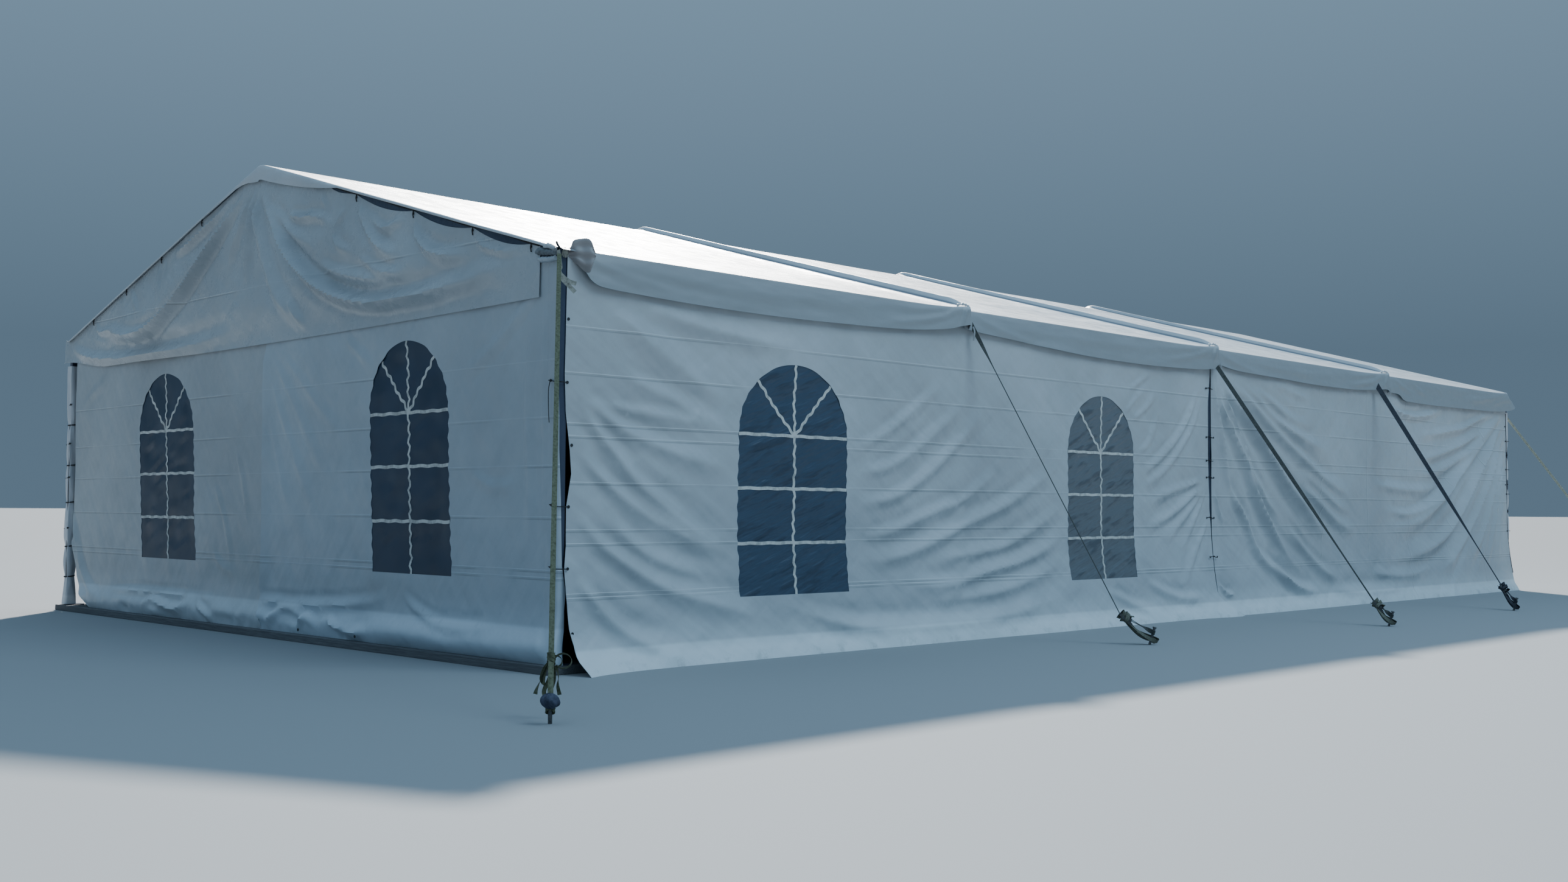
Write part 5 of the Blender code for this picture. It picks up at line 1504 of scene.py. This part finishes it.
def ties():
    """Lacing at the panel joints and corners, with eyelets in the sheets' edges."""
    cords = []
    rings = []

    def lace(points, knot, size, seed, steps):
        cords.append(tube(curve_points(points, steps), CORD_R))
        cords.append(lump_over(knot, size, seed))

    for side in (-1, 1):
        for z in JOINT_TIES:
            x = lace_x(z)
            lace(turned([(x, -0.13, z), (x + 0.006, -0.05, z + 0.012), (x + 0.004, 0.02, z - 0.004), (x, 0.06, z)],
                        side), turned((x + 0.006, -0.04, z + 0.008), side), (0.010, 0.014, 0.012), 5, 5)
            rings += ring_parts(turned([(x, -0.14, z), (x, 0.07, z)], side), 0)
        for z in EDGE_EYELETS:
            rings += ring_parts(turned([(lace_x(z), -near_eyelet(z), z), (lace_x(z), 11.88, z)], side), 0)
    for side, end in ((1, -1), (-1, 1), (1, 1), (-1, -1)):
        wrapped = side == -end
        for z in TURNED_TIES if wrapped else OPEN_TIES:
            x = lace_x(z)
            knot = (5.965 if z > 2 else 6.0) if wrapped else 5.9
            eyelet = near_eyelet(z) if end < 0 else 11.9
            lace(turned([(knot - 0.04, LACE_Y + 0.004, z + 0.02), ((knot + 6.066) / 2, LACE_Y + 0.006, z + 0.006),
                         (6.066, LACE_Y - 0.004, z), (x - LACE_X + 6.075, (eyelet + 12.066) / 2, z),
                         (x, eyelet + 0.01, z)], side, end),
                 turned((knot, LACE_Y + 0.008, z + 0.016), side, end), (0.016, 0.012, 0.013), 6, 6)
            rings += ring_parts(turned([(x, eyelet, z)], side, end), 0)
    z = np.linspace(0.35, 3.6, 60)
    out = FLARE * np.clip(1 - z / FLARE_TALL, 0, None) ** 1.6
    back_edge = np.column_stack([LACE_X + out, 11.937 + 0.004 * np.sin(z * 7), z])
    cords += [tube(turned(back_edge, side), 0.006) for side in (-1, 1)]
    loose = [(5.965, -12.08, 2.76), (5.945, -12.085, 2.66), (5.94, -12.08, 2.5), (5.95, -12.078, 2.35)]
    cords.append(tube(curve_points(loose, 8), 0.004))
    for end in (-1, 1):
        rings += ring_parts(turned([(1.29, 12.135, 0.14), (2.55, 12.13, 0.14)], -end, end), 1, 0.014)
        y = GABLE_Y + 0.012
        for a, z in zip(GABLE_TIES, gable_top(np.array(GABLE_TIES))):
            tie = [(a, y, z - 0.08), (a, y + 0.008, z - 0.04), (a, y, z + 0.012)]
            cords.append(tube(turned(tie, -end, end), 0.006))
            cords.append(lump_over(turned((a, y + 0.004, z - 0.03), -end, end), (0.012, 0.009, 0.014), 7))
        a = np.linspace(1.65, 5.72, 50)
        rope = np.column_stack([a, np.full(50, GABLE_Y + 0.016), roof_z(a) - 0.03 + 0.008 * np.sin(a * 5.3)])
        cords.append(tube(turned(rope, -end, end), 0.009))
    fitting("black_lacing", cords, ROPE, "strap_navy", 60.0)
    fitting("eyelets", rings, EYELET, "frame_steel", 60.0)


def frame_knots():
    """Cloth knotted over the eave at each inner frame, with a short hanging end."""
    knots = []
    for y in FRAME_Y[1:4]:
        for side in (-1, 1):
            path = curve_points(turned([(6.12, y - 0.16, 4.035), (6.15, y - 0.08, 4.05), (6.16, y - 0.02, 4.04),
                                        (6.15, y + 0.05, 4.02)], side), 6)
            knots.append(tube(path, 0.012 + 0.006 * np.sin(np.arange(len(path)) * 1.4)))
            tail = turned([(6.16, y + 0.11, 3.79), (6.165, y + 0.13, 3.72), (6.155, y + 0.12, 3.62)], side)
            knots.append(ribbon(curve_points(tail, 6), (0, 1, 0.2), 0.028, WEB_THICK))
    fitting("frame_knots", knots, ROOF, "roof_sheet", 60.0)


BOARD_ROWS = 166
BOARD_THICK = 0.022
JOIST = 0.045


def deck():
    """Floor boards across the hall on a rim of joists, with the frame's outer size."""
    low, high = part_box("floor_deck")
    parts = []
    pitch = (high.y - low.y) / BOARD_ROWS
    rng = np.random.default_rng(5)
    joints = np.linspace(low.x, high.x, 6)
    for k in range(BOARD_ROWS):
        y0 = low.y + k * pitch + 0.002
        y1 = low.y + (k + 1) * pitch - 0.002
        shift = (k % 2) * (joints[1] - joints[0]) / 2
        cuts = [low.x] + [x for x in joints[1:-1] + shift - 0.6 if low.x + 0.4 < x < high.x - 0.4] + [high.x]
        for x0, x1 in zip(cuts[:-1], cuts[1:]):
            top = high.z - rng.uniform(0.0, 0.0012)
            parts.append(slab((x0 + 0.001, y0, high.z - BOARD_THICK), (x1 - 0.001, y1, top), 0.002))
    base = high.z - BOARD_THICK - GAP
    for side in (low.x, high.x - JOIST):
        parts.append(slab((side, low.y, low.z), (side + JOIST, high.y, base), 0.003))
    inset = JOIST + 0.001
    for side in (low.y, high.y - JOIST):
        parts.append(slab((low.x + inset, side, low.z), (high.x - inset, side + JOIST, base), 0.003))
    ob = fitting("floor_boards", parts, TIMBER, "deck_timber", 25.0)
    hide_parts("floor_deck")


def slab(low, high, edge):
    """A box given by its low and high corners."""
    low = np.array(low)
    high = np.array(high)
    return block((low + high) / 2, np.eye(3), high - low, edge)


def steel():
    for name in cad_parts:
        if name.startswith("portal_frame") or "_beam" in name:
            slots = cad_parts[name].data.materials
            slots.clear()
            slots.append(STEEL)


def stage():
    """A wide grey floor for the picture."""
    mesh = bpy.data.meshes.new("studio_floor")
    r = 900.0
    mesh.from_pydata([(-r, -r, -0.001), (r, -r, -0.001), (r, r, -0.001), (-r, r, -0.001)], [], [(0, 1, 2, 3)])
    ob = put("studio_floor", mesh)
    shader = Shader("studio_floor", Roughness=0.9)
    shader.wire((0.28, 0.297, 0.31), shader.main.inputs["Base Color"])
    mesh.materials.append(shader.mat)


def lights():
    """Cool sky, brighter overhead, a sun from behind on the left, and soft lights over the shown sides."""
    world = bpy.data.worlds.new("studio")
    world.use_nodes = True
    tree = world.node_tree
    sky = tree.nodes["Background"]
    where = tree.nodes.new("ShaderNodeTexCoord")
    split = tree.nodes.new("ShaderNodeSeparateXYZ")
    level = tree.nodes.new("ShaderNodeMapRange")
    tree.links.new(where.outputs["Generated"], split.inputs[0])
    tree.links.new(split.outputs[2], level.inputs[0])
    for k, value in enumerate((0.10, 0.85, 0.235, 0.82), 1):
        level.inputs[k].default_value = value
    tree.links.new(level.outputs[0], sky.inputs[1])
    sky.inputs[0].default_value = (0.46, 0.72, 1.0, 1.0)
    bpy.context.scene.world = world
    for name, kind, place, aim, size, power, colour in (
            ("back_key", "SUN", (-36.0, 33.0, 34.0), (0, 0, 2), math.radians(3), 8.6, (1.0, 0.98, 0.94)),
            ("side_sky", "AREA", (26.0, -3.0, 26.0), (4, -2, 1.5), 15.0, 4300.0, (0.55, 0.80, 1.0)),
            ("front_sky", "AREA", (8.0, -34.0, 30.0), (0, -12, 2), 10.0, 100.0, (0.55, 0.80, 1.0))):
        light = bpy.data.lights.new(name, kind)
        if kind == "SUN":
            light.angle = size
        else:
            light.size = size
        light.energy = power
        light.color = colour
        ob = put(name, light)
        ob.location = place
        ob.rotation_euler = (Vector(aim) - Vector(place)).to_track_quat("-Z", "Y").to_euler()


def camera():
    """The photograph's view, solved from the eave, ridge and ground lines."""
    yaw, pitch, roll = (math.radians(v) for v in (134.82, 2.58, 0.33))
    ahead = Vector((math.cos(pitch) * math.cos(yaw), math.cos(pitch) * math.sin(yaw), math.sin(pitch)))
    right = Vector((math.sin(yaw), -math.cos(yaw), 0.0))
    up = right.cross(ahead)
    level = right * math.cos(roll) + up * math.sin(roll)
    top = up * math.cos(roll) - right * math.sin(roll)
    data = bpy.data.cameras.new("camera")
    data.sensor_width = 36.0
    data.lens = 35.09
    data.clip_end = 2000.0
    ob = put("camera", data)
    turn = Matrix((level, top, -ahead)).transposed().to_4x4()
    ob.matrix_world = Matrix.Translation((17.62, -20.69, 1.543)) @ turn
    bpy.context.scene.camera = ob


camera()
lights()
stage()
steel()
deck()
side_walls()
end_walls()
gable_sheets()
roof_covers()
guy_straps()
near_strap_knot()
corner_twists()
post_wraps()
ties()
frame_knots()
